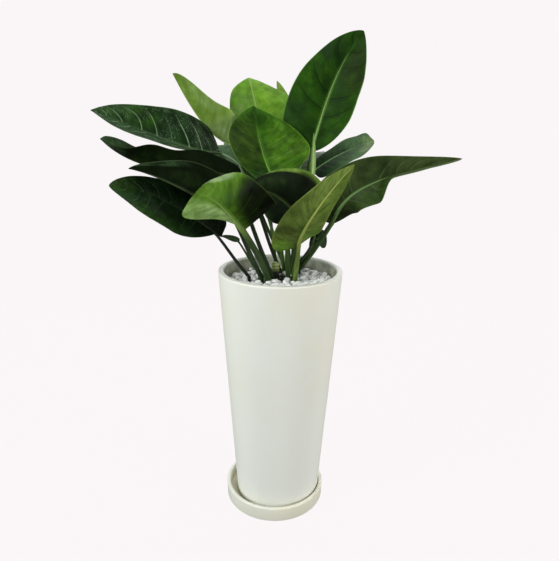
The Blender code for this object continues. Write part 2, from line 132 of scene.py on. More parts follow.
# Stalks and midribs: where they start in the soil and leave the chips, how far their streaks have run
# there, how they arch up and turn into the blade (with the reach of their curve's two handles), how they
# taper and end, and the steps of their tubes.
STALK_START = 0.3777
STALK_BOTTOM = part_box("soil")[0].z + STALK_START
STALK_CLEAR_Z = 0.497
STALK_BURIED = 0.02
RUN_BURIED = 0.02
RUN_CLEAR = 0.05
STALK_BOW = -0.12
STALK_BEND = 0.25
STALK_HANDLES = (0.4, 0.3)
STALK_TAPER = 0.25
STALK_STEPS = 26
RIB_TAPER = 0.3
RIB_POINT = 0.85
RIB_LEAST = 0.0004
RIB_END = 0.96
RIB_TIP = 0.001
RIB_STEPS = 30

# Blades: the usual outline, the spacing of the rows, how the basal lobes fade, how the right half's wave
# and veins are set off from the left's, and how the lateral veins lean, bend and stray.
OVATE = (0.55, 0.95)
ROW_EASE = 0.3
ROW_STEADY = 0.4
LOBE_POWER = 4
RIGHT_WAVE = 0.37
RIGHT_VEINS = 0.4
VEIN_LEAN = 0.06
VEIN_BEND = 0.11
VEIN_STRAY = 0.45
STRAY_GRAIN = (0.6, 7.3, 0.7)

# Relief: how sharp and how deep the furrows are, how soon they start at the rib and at both ends, how
# much they fade at the margin, and the grain and the start of the slow undulation. Then how much duller
# the underside is, and the colour of dust.
FURROW_POWER = 0.6
FURROW_DEPTH = 0.75
RIB_START = 4
END_START = 7
MARGIN_FADE = 0.8
SWELL_GRAIN = 22
SWELL_START = 5
UNDER_DULLER = 0.08
DUST = "#8fa88c"

# Studio: the floor's size and middle, how near its far edge is picked, its upturned wall and cove, the
# camera's film in millimetres and nearest view, the paper's own light, what the lamps are turned to, and
# the lamps (place, size, colour).
FLOOR_SIZE = 9
FLOOR_MIDDLE = (0, 1.5, 0)
FLOOR_EDGE = 0.1
WALL_HEIGHT = 6
COVE = 2.0
COVE_FACES = 24
FILM = 36
NEAREST = 0.01
PAPER_GLOW = (1.0, 0.962, 0.972, 1)
HEART = (0, 0, 0.62)
LAMPS = {
    "key": ((-2.9, -2.0, 2.2), 2.0, (0.97, 1.0, 0.99)),
    "fill": ((2.9, -1.3, 1.0), 2.0, (1.0, 0.99, 0.95)),
    "top": ((0.1, 0.5, 2.9), 1.6, (1.0, 1.0, 1.0)),
    "back": ((0.4, 2.8, 1.7), 2.0, (1.0, 1.0, 1.0)),
}


class Leaf(NamedTuple):
    """One leaf's shape. Pairs are (left, right), looking from base to tip at the upper side."""
    foot: tuple  # where the stalk leaves the chips
    stalk: float  # the stalk's radius there
    rib: tuple  # the midrib as a cubic curve, base to tip
    face: tuple  # the way the upper side looks at base and tip
    half: tuple  # half widths
    lift: tuple  # each half's lift above the face plane along the rib, in degrees
    curl: tuple  # each half's curl, in degrees
    shape: tuple = (OVATE, OVATE)  # each half's outline, as exponents at base and tip
    wave: float = 2  # height of the margin's wave
    beat: tuple = (2, 0.1)  # how many waves there are, and their phase
    lobe: tuple = (0, 0)  # how far the basal lobes reach back
    bow: float = STALK_BOW  # how far the stalk arches up


class Look(NamedTuple):
    """One leaf's colours and finish."""
    upper: str  # green of the upper side
    under: str  # green of the underside
    rib: str  # colour of the midrib
    stalk: str  # colour of the stalk
    vein: str  # colour of the lateral veins
    sink: float  # how far the lateral veins sink
    slot: str = "leaf_dark_green"  # the record's material slot
    veins: int = 9  # lateral veins on each side
    lines: float = 0.4  # how strongly they show
    rough: float = 0.5  # roughness
    dust: float = 0  # dust on the blade
    shine: float = 0.08  # specular level
    streaks: float = 0.4  # dark streaks along the veins
    edge: float = 0.55  # pale margin
    # Patches of painted light, shade and highlight on the blade, some of them the leaf's own tone.
    light_and_tone_patches: tuple = ()  # patches: across -1 to 1, along 0 to 1, half width, half length, green, share


def metres(value):
    """Millimetres as metres, in a number or in nested tuples of numbers."""
    return tuple(metres(part) for part in value) if isinstance(value, tuple) else round(value / 1000, 7)


# The leaves as the frame has them, with their lengths in millimetres.
LEAVES_MM = {
    "crest": Leaf(
        foot=(29, 44), stalk=4.2, rib=((65, 70, 736), (94, 84, 842), (111, 82, 897), (153, 52, 952)),
        face=((-0.15, -1, 0.3), (-0.15, -1, 0.2)), half=(76, 68), lift=((13, 13, 8), (-4, 20, -1)),
        curl=(18, -22), shape=((0.23, 0.72), (0.66, 0.79)), wave=4, beat=(2, 0.3)),
    "centre": Leaf(
        foot=(22, 10), stalk=5, rib=((10, -20, 674), (-22, 10, 682), (-41, 50, 762), (-50, 70, 820)),
        face=((0.37, -0.9, 0.3), (0.3, -0.9, 0.3)), half=(66, 94), lift=((22, 22), (23, 22)), curl=(21, 29),
        shape=((1.63, 0.99), (1.3, 1.19)), wave=3),
    "back_dome": Leaf(
        foot=(13, 62), stalk=3.8, rib=((-10, 86, 714), (-60, 97, 840), (-62, 125, 926), (-70, 195, 845)),
        face=((0.1, -1, 0.2), (0, 0.5, 1)), half=(66, 77), lift=((-9, -28, -29), (4, -9, 0)), curl=(24, 13),
        shape=((0.22, 0.96), (0.95, 1.69)), wave=3, beat=(1.5, 0.2)),
    "back_blade": Leaf(
        foot=(27, 92), stalk=3.5, rib=((8, 130, 738), (22, 150, 784), (9, 165, 825), (-6, 165, 873)),
        face=((0, -1, 0.2), (0, -1, 0.2)), half=(12, 20), lift=((11, 10), (11, 10)), curl=(15, 15),
        shape=((0.56, 0.81), (0.7, 0.79)), beat=(1.5, 0.2)),
    "left_flag": Leaf(
        foot=(15, 76), stalk=3.5, rib=((-68, 60, 741), (-112, 65, 752), (-143, 70, 758), (-200, 50, 875)),
        face=((0.6, 0.5, 0.5), (0.6, 0.5, 0.5)), half=(58, 51), lift=((45, 46, 48), (51, 62, 34)),
        curl=(5, 12), shape=((0.36, 0.56), (2.2, 0.54)), wave=3),
    "left_high": Leaf(
        foot=(-10, 10), stalk=4.5,
        rib=((-108, 5, 733), (-165, -20, 731), (-266, -60, 789), (-314, -80, 805)),
        face=((0, -0.7, 0.7), (0, -0.7, 0.7)), half=(44, 81), lift=((52, 22), (5, 39)), curl=(5, 16),
        shape=((0.72, 1.06), (0.2, 1))),
    "left_mid": Leaf(
        foot=(6, 50), stalk=3.8,
        rib=((-68, -20, 699), (-150, -60, 701), (-245, -90, 703), (-295, -100, 760)),
        face=((0, 0.3, 0.95), (0, -0.1, 0.95)), half=(40, 42), lift=((70, 70, 30), (60, 50, 30)),
        curl=(5, 15), shape=((0.5, 0.6), (0.5, 0.35)), wave=3.5, beat=(2.6, 0.54)),
    "left_low": Leaf(
        foot=(-31, -4), stalk=5.2,
        rib=((-86, -30, 627), (-125, -85, 655), (-185, -125, 705), (-240, -140, 715)),
        face=((0, 0.3, 0.95), (0, 0.3, 0.95)), half=(55, 36), lift=((65, 60, 50), (55, 55, 55)),
        curl=(5, 25), shape=((0.4, 0.9), OVATE)),
    "left_base": Leaf(
        foot=(-55, -5), stalk=3.5,
        rib=((-117, -20, 586), (-160, -50, 624), (-212, -90, 682), (-280, -120, 685)),
        face=((-0.1, -0.8, 0.6), (-0.1, -0.8, 0.6)), half=(79, 45), lift=((39, 34), (14, 11)), curl=(5, 16),
        shape=((1.05, 0.68), (0.2, 0.6)), wave=3, lobe=(0, 14)),
    "front_left": Leaf(
        foot=(-18, -10), stalk=6.8, bow=0.18,
        rib=((-56, -125, 614), (-68, -140, 628), (-85, -145, 664), (-136, -115, 677)),
        face=((0.3, -0.85, 0.4), (0, -0.5, 1)), half=(51, 74), lift=((0, -20, -12), (42, 53, 15)),
        curl=(23, 9), shape=((2.2, 0.15), (0.1, 0.28)), wave=1),
    "front_dark": Leaf(
        foot=(35, 66), stalk=3, rib=((69, -55, 593), (9, -65, 661), (-7, -63, 680), (-67, -55, 677)),
        face=((-0.1, -0.8, 0.6), (-0.1, -0.8, 0.6)), half=(54, 71), lift=((21, 19), (31, 30)), curl=(0, 21),
        shape=((1.8, 2.1), (0.63, 1.39))),
    "front_right": Leaf(
        foot=(36, -13), stalk=4.6, rib=((39, -70, 577), (37, -100, 602), (76, -130, 673), (125, -120, 725)),
        face=((-0.1, 0.9, 0.2), (-0.1, 0.9, 0.2)), half=(38, 50), lift=((33, 26), (3, 22)), curl=(11, 14),
        shape=((0.16, 0.63), (0.16, 0.85)), lobe=(0, 8)),
    "right_long": Leaf(
        foot=(43, 52), stalk=6, rib=((99, -30, 610), (124, -60, 686), (174, -70, 698), (310, -90, 735)),
        face=((-0.1, -0.6, 0.75), (-0.1, -0.7, 0.7)), half=(57, 38),
        lift=((46, 47), (-28, -44, -9, -14, 60, 55, 52)), curl=(4, 23), shape=((0.23, 0.85), (0.64, 0.52))),
    "right_back": Leaf(
        foot=(40, 88), stalk=3.6, rib=((69, 85, 694), (118, 100, 734), (164, 120, 741), (195, 140, 760)),
        face=((-0.2, -0.7, 0.7), (0, -0.4, 0.9)), half=(24, 32), lift=((19, 36), (7, -3)), curl=(10, 16),
        shape=((0.3, 0.17), (0.16, 0.42))),
    "young_right": Leaf(
        foot=(33, 29), stalk=3, rib=((65, 8, 684), (67, 12, 712), (67, 16, 741), (65, 16, 772)),
        face=((0.1, -1, 0.2), (0.1, -1, 0.2)), half=(6, 4), lift=((-25, -25), (20, 20)), curl=(15, 15),
        wave=0),
    "back_left": Leaf(
        foot=(16, 87), stalk=3.5,
        rib=((-80, 100, 705), (-110, 120, 730), (-145, 150, 735), (-190, 170, 725)),
        face=((0, -0.4, 0.9), (0, -0.4, 0.9)), half=(45, 45), lift=((10, 10), (10, 10)), curl=(15, 15)),
    "low_right": Leaf(
        foot=(51, 82), stalk=3, rib=((68, 50, 538), (77, 48, 569), (91, 40, 594), (93, 34, 548)),
        face=((0.2, -0.6, 0.8), (0.5, -0.8, 0.2)), half=(13, 16), lift=((5, 5), (5, 5)), curl=(5, 5),
        shape=((0.55, 0.4), (0.55, 0.4)), wave=1),
    "low_back": Leaf(
        foot=(-36, 16), stalk=2.6, rib=((-79, 45, 557), (-87, 52, 561), (-100, 60, 563), (-121, 65, 564)),
        face=((0, -0.35, 0.95), (0, -0.35, 0.95)), half=(9, 9), lift=((0, 0), (0, 0)), curl=(5, 5), wave=0),
    "rear_left": Leaf(
        foot=(-2, 66), stalk=3.8, rib=((-26, 100, 668), (-60, 160, 735), (-90, 240, 755), (-115, 310, 725)),
        face=((0, -0.6, 0.8), (0, 0.2, 1)), half=(52, 52), lift=((15, 15), (15, 15)), curl=(15, 15),
        wave=3),
    "rear_right": Leaf(
        foot=(31, 76), stalk=3.8, rib=((40, 115, 678), (50, 160, 715), (65, 240, 735), (100, 300, 715)),
        face=((0, -0.6, 0.8), (0, 0.2, 1)), half=(50, 50), lift=((15, 15), (15, 15)), curl=(15, 15),
        wave=3),
}
LENGTHS = ("foot", "stalk", "rib", "half", "wave", "lobe")
LEAVES = {
    name: leaf._replace(**{key: metres(getattr(leaf, key)) for key in LENGTHS})
    for name, leaf in LEAVES_MM.items()}

# Greens as they look in even light, dark and light of each. In the leaves' patches they also stand for
# painted light and shade.
GREENS = {
    "forest": ("#16300a", "#2c5410"),
    "meadow": ("#1c3a0a", "#3a6a12"),
    "fresh": ("#4f7c1c", "#78a834"),
    "spring": ("#5c7c28", "#84a648"),
    "clover": ("#385a10", "#5a8028"),
    "bottle": ("#0a1a07", "#1f3c1a"),
    "night": ("#060b04", "#141d0c"),
    "leafmould": ("#0d150a", "#1b2812"),
    "olive": ("#526a28", "#7e9446"),
    "moss": ("#1a2a10", "#32481e"),
    "bracken": ("#263214", "#4a5c30"),
    "mist": ("#2a4026", "#587850"),
    "lime": ("#86a45c", "#a8c284"),
    "sunny": ("#5a8e18", "#86b838"),
    "umber": ("#26240f", "#3a3a18"),
    "pale": ("#8eac70", "#b8cca0"),
    "dusk": ("#080c04", "#161e0b"),
}

# What shows on each leaf. The patches paint light and shade on the blades, some with the leaf's own tone.
LOOKS = {
    "crest": Look(
        slot="leaf_mid_green", upper="forest", under="meadow", rib="#749c4a", stalk="#3f5a26", veins=7,
        sink=1.1, vein="#0b1a03", lines=0.95, rough=0.55, shine=0.05, streaks=0.35, light_and_tone_patches=(
            (-0.95, 0.22, 0.75, 0.13, "bottle", 0.4), (0.6, 0.7, 0.6, 0.3, "umber", 0.3),
            (0.7, 0.2, 0.6, 0.16, "meadow", 0.35), (-0.7, 0.5, 0.5, 0.22, "meadow", 0.35))),
    "centre": Look(
        slot="leaf_mid_green", upper="meadow", under="meadow", rib="#689838", stalk="#42602a", veins=8,
        sink=1.1, vein="#163006", lines=0.7, dust=0.15, shine=0.05, streaks=0.75, light_and_tone_patches=(
            (-0.6, 0.62, 0.75, 0.36, "umber", 0.45), (0.65, 0.5, 0.65, 0.4, "sunny", 0.3),
            (-0.5, 0.25, 0.8, 0.16, "bottle", 0.5), (0.1, 0.9, 0.7, 0.14, "forest", 0.5))),
    "back_dome": Look(
        slot="leaf_bright_green", upper="fresh", under="fresh", rib="#7ea048", stalk="#4b6b2c", veins=8,
        sink=0.5, vein="#4a7220", lines=0.3, light_and_tone_patches=(
            (0.4, 0.4, 0.45, 0.16, "sunny", 0.6), (-0.75, 0.33, 0.4, 0.1, "lime", 0.3),
            (-0.12, 0.42, 0.16, 0.14, "clover", 0.5))),
    "back_blade": Look(
        slot="leaf_bright_green", upper="spring", under="spring", rib="#94b060", stalk="#4b6b2c", veins=8,
        sink=0.3, vein="#90ac58", lines=0.5),
    "left_flag": Look(
        slot="leaf_bright_green", upper="spring", under="spring", rib="#9aba62", stalk="#4b6b2c", sink=0.5,
        vein="#56782a", lines=0.3, streaks=0.25, light_and_tone_patches=(
            (-0.8, 0.8, 0.4, 0.2, "lime", 0.25), (0.0, 0.22, 1.6, 0.42, "lime", 0.6))),
    "left_high": Look(
        upper="bottle", under="moss", rib="#56764a", stalk="#2c3f1e", sink=0.7, vein="#94b288", lines=0.75,
        rough=0.46, dust=0.95, shine=0.05, streaks=0.75, light_and_tone_patches=(
            (0.5, 0.2, 0.5, 0.05, "mist", 0.4), (0.95, 0.55, 0.16, 0.6, "mist", 0.4),
            (-0.6, 0.6, 0.5, 0.6, "mist", 0.4), (0.6, 0.75, 0.7, 0.3, "meadow", 0.55),
            (0.2, 0.9, 1.3, 0.3, "mist", 0.4), (0.3, 0.14, 0.9, 0.2, "night", 0.55))),
    "left_mid": Look(
        upper="moss", under="leafmould", rib="#2a3a1c", stalk="#2c3f20", sink=0.4, vein="#0a0f06",
        rough=0.55, shine=0.03, light_and_tone_patches=(
            (0.2, 0.92, 1.6, 0.16, "mist", 0.55), (0.3, 0.6, 1.2, 0.2, "moss", 0.5))),
    "left_low": Look(
        upper="moss", under="leafmould", rib="#4a5c3a", stalk="#33482a", sink=0.3, vein="#10160a",
        shine=0.05, light_and_tone_patches=(
            (-0.85, 0.8, 0.2, 0.25, "mist", 0.5), (-0.4, 0.5, 0.3, 0.2, "moss", 0.35))),
    "left_base": Look(
        upper="bottle", under="night", rib="#34522c", stalk="#2c352a", sink=0.9, vein="#62825a", lines=0.36,
        rough=0.46, dust=0.3, shine=0.05, streaks=0.6, light_and_tone_patches=(
            (0.3, 0.95, 1.2, 0.16, "clover", 0.15), (-0.8, 0.7, 0.3, 0.35, "meadow", 0.35),
            (0.2, 0.12, 1.2, 0.32, "night", 0.85), (0.9, 0.42, 0.5, 0.2, "night", 0.8))),
    "front_left": Look(
        slot="leaf_bright_green", upper="clover", under="olive", rib="#7c9c4a", stalk="#425c2a", veins=7,
        sink=0.6, vein="#2c4e10", lines=0.5, shine=0.04, streaks=0.6, edge=0.12, light_and_tone_patches=(
            (0.8, 0.2, 0.92, 0.5, "dusk", 1.0), (0.9, 0.32, 0.75, 0.34, "dusk", 0.95),
            (-0.7, 0.62, 0.6, 0.6, "lime", 0.5), (0.9, 0.9, 0.3, 0.2, "pale", 0.5))),
    "front_dark": Look(
        upper="leafmould", under="night", rib="#5a7638", stalk="#344422", veins=8, sink=0.5, vein="#18240f",
        light_and_tone_patches=(
            (0.98, 0.42, 0.14, 0.36, "spring", 0.95), (0.75, 0.38, 0.25, 0.16, "dusk", 0.8),
            (0.4, 0.68, 0.35, 0.2, "moss", 0.5), (-0.5, 0.5, 0.5, 0.35, "bottle", 0.4))),
    "front_right": Look(
        slot="leaf_bright_green", upper="forest", under="olive", rib="#94a450", stalk="#7e9844", sink=0.3,
        vein="#4a561e", lines=0.35, streaks=0.6, light_and_tone_patches=(
            (0.6, 0.24, 0.5, 0.07, "umber", 0.5), (0.8, 0.05, 0.6, 0.09, "fresh", 0.7),
            (-0.55, 0.7, 0.6, 0.34, "spring", 0.55), (-0.6, 0.22, 0.5, 0.14, "fresh", 0.5))),
    "right_long": Look(
        upper="bracken", under="leafmould", rib="#64844a", stalk="#44602f", sink=0.5, vein="#6c8458",
        light_and_tone_patches=(
            (0.6, 0.45, 0.6, 0.2, "meadow", 0.3), (0.7, 0.06, 0.7, 0.14, "dusk", 0.75),
            (-0.4, 0.55, 0.6, 0.16, "moss", 0.4))),
    "right_back": Look(
        slot="leaf_grey_green", upper="mist", under="mist", rib="#6c8c5c", stalk="#344a24", sink=0.4,
        vein="#2c4228", light_and_tone_patches=(
            (0.0, 0.15, 1.5, 0.55, "bottle", 0.85), (0.6, 0.85, 0.5, 0.24, "pale", 0.35),
            (0.0, 0.95, 0.9, 0.25, "lime", 0.35))),
    "young_right": Look(
        slot="leaf_bright_green", upper="clover", under="lime", rib="#a8c47c", stalk="#6f9040", veins=6,
        sink=0.0, vein="#7f9a58", lines=0.2, streaks=0.1, light_and_tone_patches=(
            (0.3, 0.5, 1.2, 1.2, "lime", 0.7),)),
    "back_left": Look(
        slot="leaf_grey_green", upper="mist", under="mist", rib="#8aa87c", stalk="#344a24", sink=0.4,
        vein="#56784c", light_and_tone_patches=(
            (0.0, 0.4, 1.5, 0.5, "bottle", 0.35), (0.0, 0.95, 1.2, 0.2, "lime", 0.4))),
    "low_right": Look(
        upper="bottle", under="leafmould", rib="#3a5a2c", stalk="#344a22", veins=6, sink=0.3,
        vein="#10180a"),
    "low_back": Look(
        upper="moss", under="night", rib="#2c4222", stalk="#344a22", veins=6, sink=0.3, vein="#0c1208"),
    "rear_left": Look(
        slot="leaf_mid_green", upper="forest", under="moss", rib="#4c7034", stalk="#344a1e", sink=0.9,
        vein="#0f2203", lines=0.6, rough=0.45),
    "rear_right": Look(
        slot="leaf_mid_green", upper="forest", under="moss", rib="#4c7034", stalk="#344a1e", sink=0.9,
        vein="#0f2203", lines=0.6, rough=0.45),
}


class PotSettings(bpy.types.PropertyGroup):
    """Sizes and glaze of the planter and the saucer."""
    sides: IntProperty(name="Sides", description="Faces round the turned pieces", default=128, min=24)
    foot_radius: FloatProperty(
        name="Foot radius", description="Planter's radius at its foot", default=0.0883, unit="LENGTH")
    wall: FloatProperty(
        name="Wall", description="Thickness of the planter's wall", default=0.0115, unit="LENGTH")
    lip: FloatProperty(name="Lip", description="Rounding of the rim", default=0.004, unit="LENGTH")
    drain_radius: FloatProperty(
        name="Drain radius", description="Radius of the hole in the floor", default=0.010, unit="LENGTH")
    saucer_foot: FloatProperty(
        name="Saucer foot", description="Saucer's radius at its foot", default=0.1045, unit="LENGTH")
    saucer_wall: FloatProperty(
        name="Saucer wall", description="Thickness of the saucer's wall", default=0.0077, unit="LENGTH")
    glaze: FloatVectorProperty(
        name="Glaze", description="Colour of the planter's glaze", subtype="COLOR", size=3,
        default=(0.80, 0.815, 0.76), min=0, max=1)
    saucer_glaze: FloatVectorProperty(
        name="Saucer glaze", description="Colour of the saucer's glaze", subtype="COLOR", size=3,
        default=(0.77, 0.775, 0.68), min=0, max=1)
    # Colour of the painted shade, with a green cast of light off the leaves, on the planter's inner wall
    # above the chips.
    inside: FloatVectorProperty(
        name="Inside", description="Planter's raw inner wall above the chips", subtype="COLOR", size=3,
        default=(0.54, 0.58, 0.47), min=0, max=1)
    # A darker beige-brown tint low inside the saucer, on its floor and the foot of its wall.
    low_tint: FloatVectorProperty(
        name="Stain", description="Dried water mark inside the saucer", subtype="COLOR", size=3,
        default=(0.52, 0.475, 0.33), min=0, max=1)


class ChipSettings(bpy.types.PropertyGroup):
    """Marble chips on the soil."""
    seed: IntProperty(name="Seed", description="Arrangement of the chips", default=5)
    smallest: FloatProperty(
        name="Smallest", description="Radius of the smallest chip", default=0.0046, unit="LENGTH")
    largest: FloatProperty(
        name="Largest", description="Radius of the largest chip", default=0.0080, unit="LENGTH")
    spacing: FloatProperty(
        name="Spacing", description="Distance between neighbouring chips", default=0.0104, unit="LENGTH")
    marble: FloatVectorProperty(
        name="Marble", description="Colour of the chips", subtype="COLOR", size=3,
        default=(0.88, 0.89, 0.87), min=0, max=1)


class LeafSettings(bpy.types.PropertyGroup):
    """Mesh and surface of the leaves."""
    rows: IntProperty(name="Rows", description="Faces along each blade", default=96, min=12)
    columns: IntProperty(name="Columns", description="Faces across each blade", default=32, min=8)
    thickness: FloatProperty(
        name="Thickness", description="Thickness of the blade", default=0.0009, unit="LENGTH")
    relief: FloatProperty(
        name="Relief", description="Depth of the lateral veins", default=0.0018, unit="LENGTH")
    swell: FloatProperty(
        name="Swell", description="Height of the blade's slow undulation", default=0.0016, unit="LENGTH")
    stalk_sides: IntProperty(name="Stalk sides", description="Faces round each stalk", default=16, min=6)


class StudioSettings(bpy.types.PropertyGroup):
    """Floor, lamps and camera."""
    floor: FloatVectorProperty(
        name="Floor", description="Colour of the floor and backdrop", subtype="COLOR", size=3,
        default=(0.01, 0.01, 0.01), min=0, max=1)
    glow: FloatProperty(name="Glow", description="Light the paper gives off by itself", default=0.952, min=0)
    key: FloatProperty(name="Key", description="Power of the lamp at the left", default=150, subtype="POWER")
    fill: FloatProperty(
        name="Fill", description="Power of the lamp at the right", default=78, subtype="POWER")
    top: FloatProperty(name="Top", description="Power of the lamp overhead", default=32, subtype="POWER")
    back: FloatProperty(name="Back", description="Power of the lamp behind", default=20, subtype="POWER")
    sky: FloatProperty(name="Sky", description="Strength of the even light all round", default=0.22, min=0)
    eye: FloatVectorProperty(
        name="Eye", description="Where the camera stands", subtype="TRANSLATION", size=3,
        default=(0.005, -0.986, 0.786))
    pitch: FloatProperty(
        name="Pitch", description="Camera's tilt below level", default=math.radians(16.77),
        subtype="ANGLE")
    roll: FloatProperty(
        name="Roll", description="Camera's roll", default=math.radians(0.774), subtype="ANGLE")
    lens: FloatProperty(
        name="Lens", description="Focal length on a 36 mm film", default=33.21, subtype="DISTANCE_CAMERA")


def select_none():
    bpy.ops.object.select_all(action="DESELECT")


def choose(item):
    """Make one object the active one and the only one selected."""
    select_none()
    item.select_set(True)
    bpy.context.view_layer.objects.active = item


def edit(item, action="DESELECT"):
    """Open one object in edit mode with nothing selected, or with all of it."""
    choose(item)
    bpy.ops.object.mode_set(mode="EDIT")
    bpy.ops.mesh.select_mode(type="VERT")
    bpy.ops.mesh.select_all(action=action)


def leave_edit():
    bpy.ops.object.mode_set(mode="OBJECT")


def face_outwards():
    """Turn all faces of the edited object outwards."""
    bpy.ops.mesh.select_all(action="SELECT")
    bpy.ops.mesh.normals_make_consistent(inside=False)


def pick(item, kind, test):
    """Select the edges or faces of the edited object whose points all pass a test."""
    bpy.ops.mesh.select_mode(type=kind)
    bpy.ops.mesh.select_all(action="DESELECT")
    bm = bmesh.from_edit_mesh(item.data)
    for part in {"EDGE": bm.edges, "FACE": bm.faces}[kind]:
        if all(test(vertex.co) for vertex in part.verts):
            part.select_set(True)
    bm.select_flush_mode()
    bmesh.update_edit_mesh(item.data)


def apply_modifier(item, kind, **values):
    """Add a modifier with its values and apply it."""
    choose(item)
    modifier = item.modifiers.new(kind.lower(), kind)
    for key, value in values.items():
        setattr(modifier, key, value)
    bpy.ops.object.modifier_apply(modifier=modifier.name)


def smooth(item, degrees):
    choose(item)
    bpy.ops.object.shade_smooth_by_angle(angle=math.radians(degrees))


def settle(item, name, materials, node, slot):
    """Name a finished piece, keep its place in its mesh, and hang it on the frame."""
    choose(item)
    bpy.ops.object.transform_apply(location=True, rotation=True, scale=True)
    item.name = name
    item.data.name = name
    for material in materials:
        item.data.materials.append(material)
    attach(item, "root")
    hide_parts(node)


def screen_colour(text):
    """The linear colour of six hex digits as a screen shows them."""
    shares = [int(text[k:k + 2], 16) / 255 for k in (1, 3, 5)]
    linear = [share / 12.92 if share <= 0.04045 else ((share + 0.055) / 1.055)**2.4 for share in shares]
    return (*linear, 1.0)


def toned(colour, *shares):
    """A colour with its red, green and blue scaled by three shares, or all by one."""
    if len(shares) == 1:
        shares *= 3
    return (*(part * share for part, share in zip(colour, shares)), 1)


class Finish:
    """A procedural material while its nodes are put together; base is the colour laid down so far."""

    def __init__(self, name, **constants):
        self.material = bpy.data.materials.new(name)
        self.material.use_nodes = True
        self.tree = self.material.node_tree
        self.shader = self.tree.nodes["Principled BSDF"]
        self.base = None
        for key, value in constants.items():
            self.shader.inputs[key.replace("_", " ")].default_value = value

    def node(self, kind, inputs, **settings):
        made = self.tree.nodes.new(kind)
        for key, value in settings.items():
            setattr(made, key, value)
        for key, value in inputs.items():
            self.plug(made.inputs[key], value)
        return made

    def plug(self, socket, value):
        """Link a socket to an output, or give it a number, a colour or a screen colour's hex digits."""
        if isinstance(value, bpy.types.NodeSocket):
            self.tree.links.new(value, socket)
        else:
            socket.default_value = screen_colour(value) if isinstance(value, str) else value

    def maths(self, operation, first, second=0.0):
        return self.node("ShaderNodeMath", {0: first, 1: second}, operation=operation).outputs[0]

    def plus(self, first, second):
        return self.maths("ADD", first, second)

    def times(self, product, *factors):
        for factor in factors:
            product = self.maths("MULTIPLY", product, factor)
        return product

    def spread(self, value, low, high, start=0.0, end=1.0):
        """Ease a value that runs from low to high into start to end."""
        limits = {0: value, 1: low, 2: high, 3: start, 4: end}
        return self.node("ShaderNodeMapRange", limits, interpolation_type="SMOOTHSTEP").outputs[0]

    def zone(self, value, origin, limits, start=1.0, end=0.0):
        """Ease a value between two limits that are measured from an origin."""
        return self.spread(value, origin + limits[0], origin + limits[1], start, end)

    def mix(self, share, first, second):
        return self.node("ShaderNodeMix", {0: share, 6: first, 7: second}, data_type="RGBA").outputs[2]

    def lay(self, share, colour):
        """Lay a colour over the base, as far as a share says."""
        self.base = self.mix(share, self.base, colour)

    def place(self):
        """Object coordinates."""
        return self.node("ShaderNodeTexCoord", {}).outputs["Object"]

    def xyz(self):
        return self.node("ShaderNodeSeparateXYZ", {0: self.place()}).outputs

    def uv(self, name):
        source = self.node("ShaderNodeUVMap", {}, uv_map=name).outputs[0]
        return self.node("ShaderNodeSeparateXYZ", {0: source}).outputs[:2]

    def flat(self, across, along):
        """A place made of two values."""
        return self.node("ShaderNodeCombineXYZ", {0: across, 1: along}).outputs[0]

    def noise(self, scale, detail=3.0, place=None, roughness=0.55):
        where = self.place() if place is None else place
        inputs = {"Vector": where, "Scale": scale, "Detail": detail, "Roughness": roughness}
        return self.node("ShaderNodeTexNoise", inputs).outputs[0]

    def away(self, across, along, centre, reach=(1, 1)):
        """The squared distance from a centre, 1 all round an oval of that reach."""
        first = self.maths("DIVIDE", self.maths("SUBTRACT", across, centre[0]), reach[0])
        second = self.maths("DIVIDE", self.maths("SUBTRACT", along, centre[1]), reach[1])
        return self.plus(self.times(first, first), self.times(second, second))

    def roughness(self, value):
        self.plug(self.shader.inputs["Roughness"], value)

    def bump(self, height, distance, strength=1.0):
        made = self.node("ShaderNodeBump", {"Height": height, "Distance": distance, "Strength": strength})
        self.plug(self.shader.inputs["Normal"], made.outputs[0])

    def done(self):
        """The material, with its base colour plugged in."""
        self.plug(self.shader.inputs["Base Color"], self.base)
        return self.material


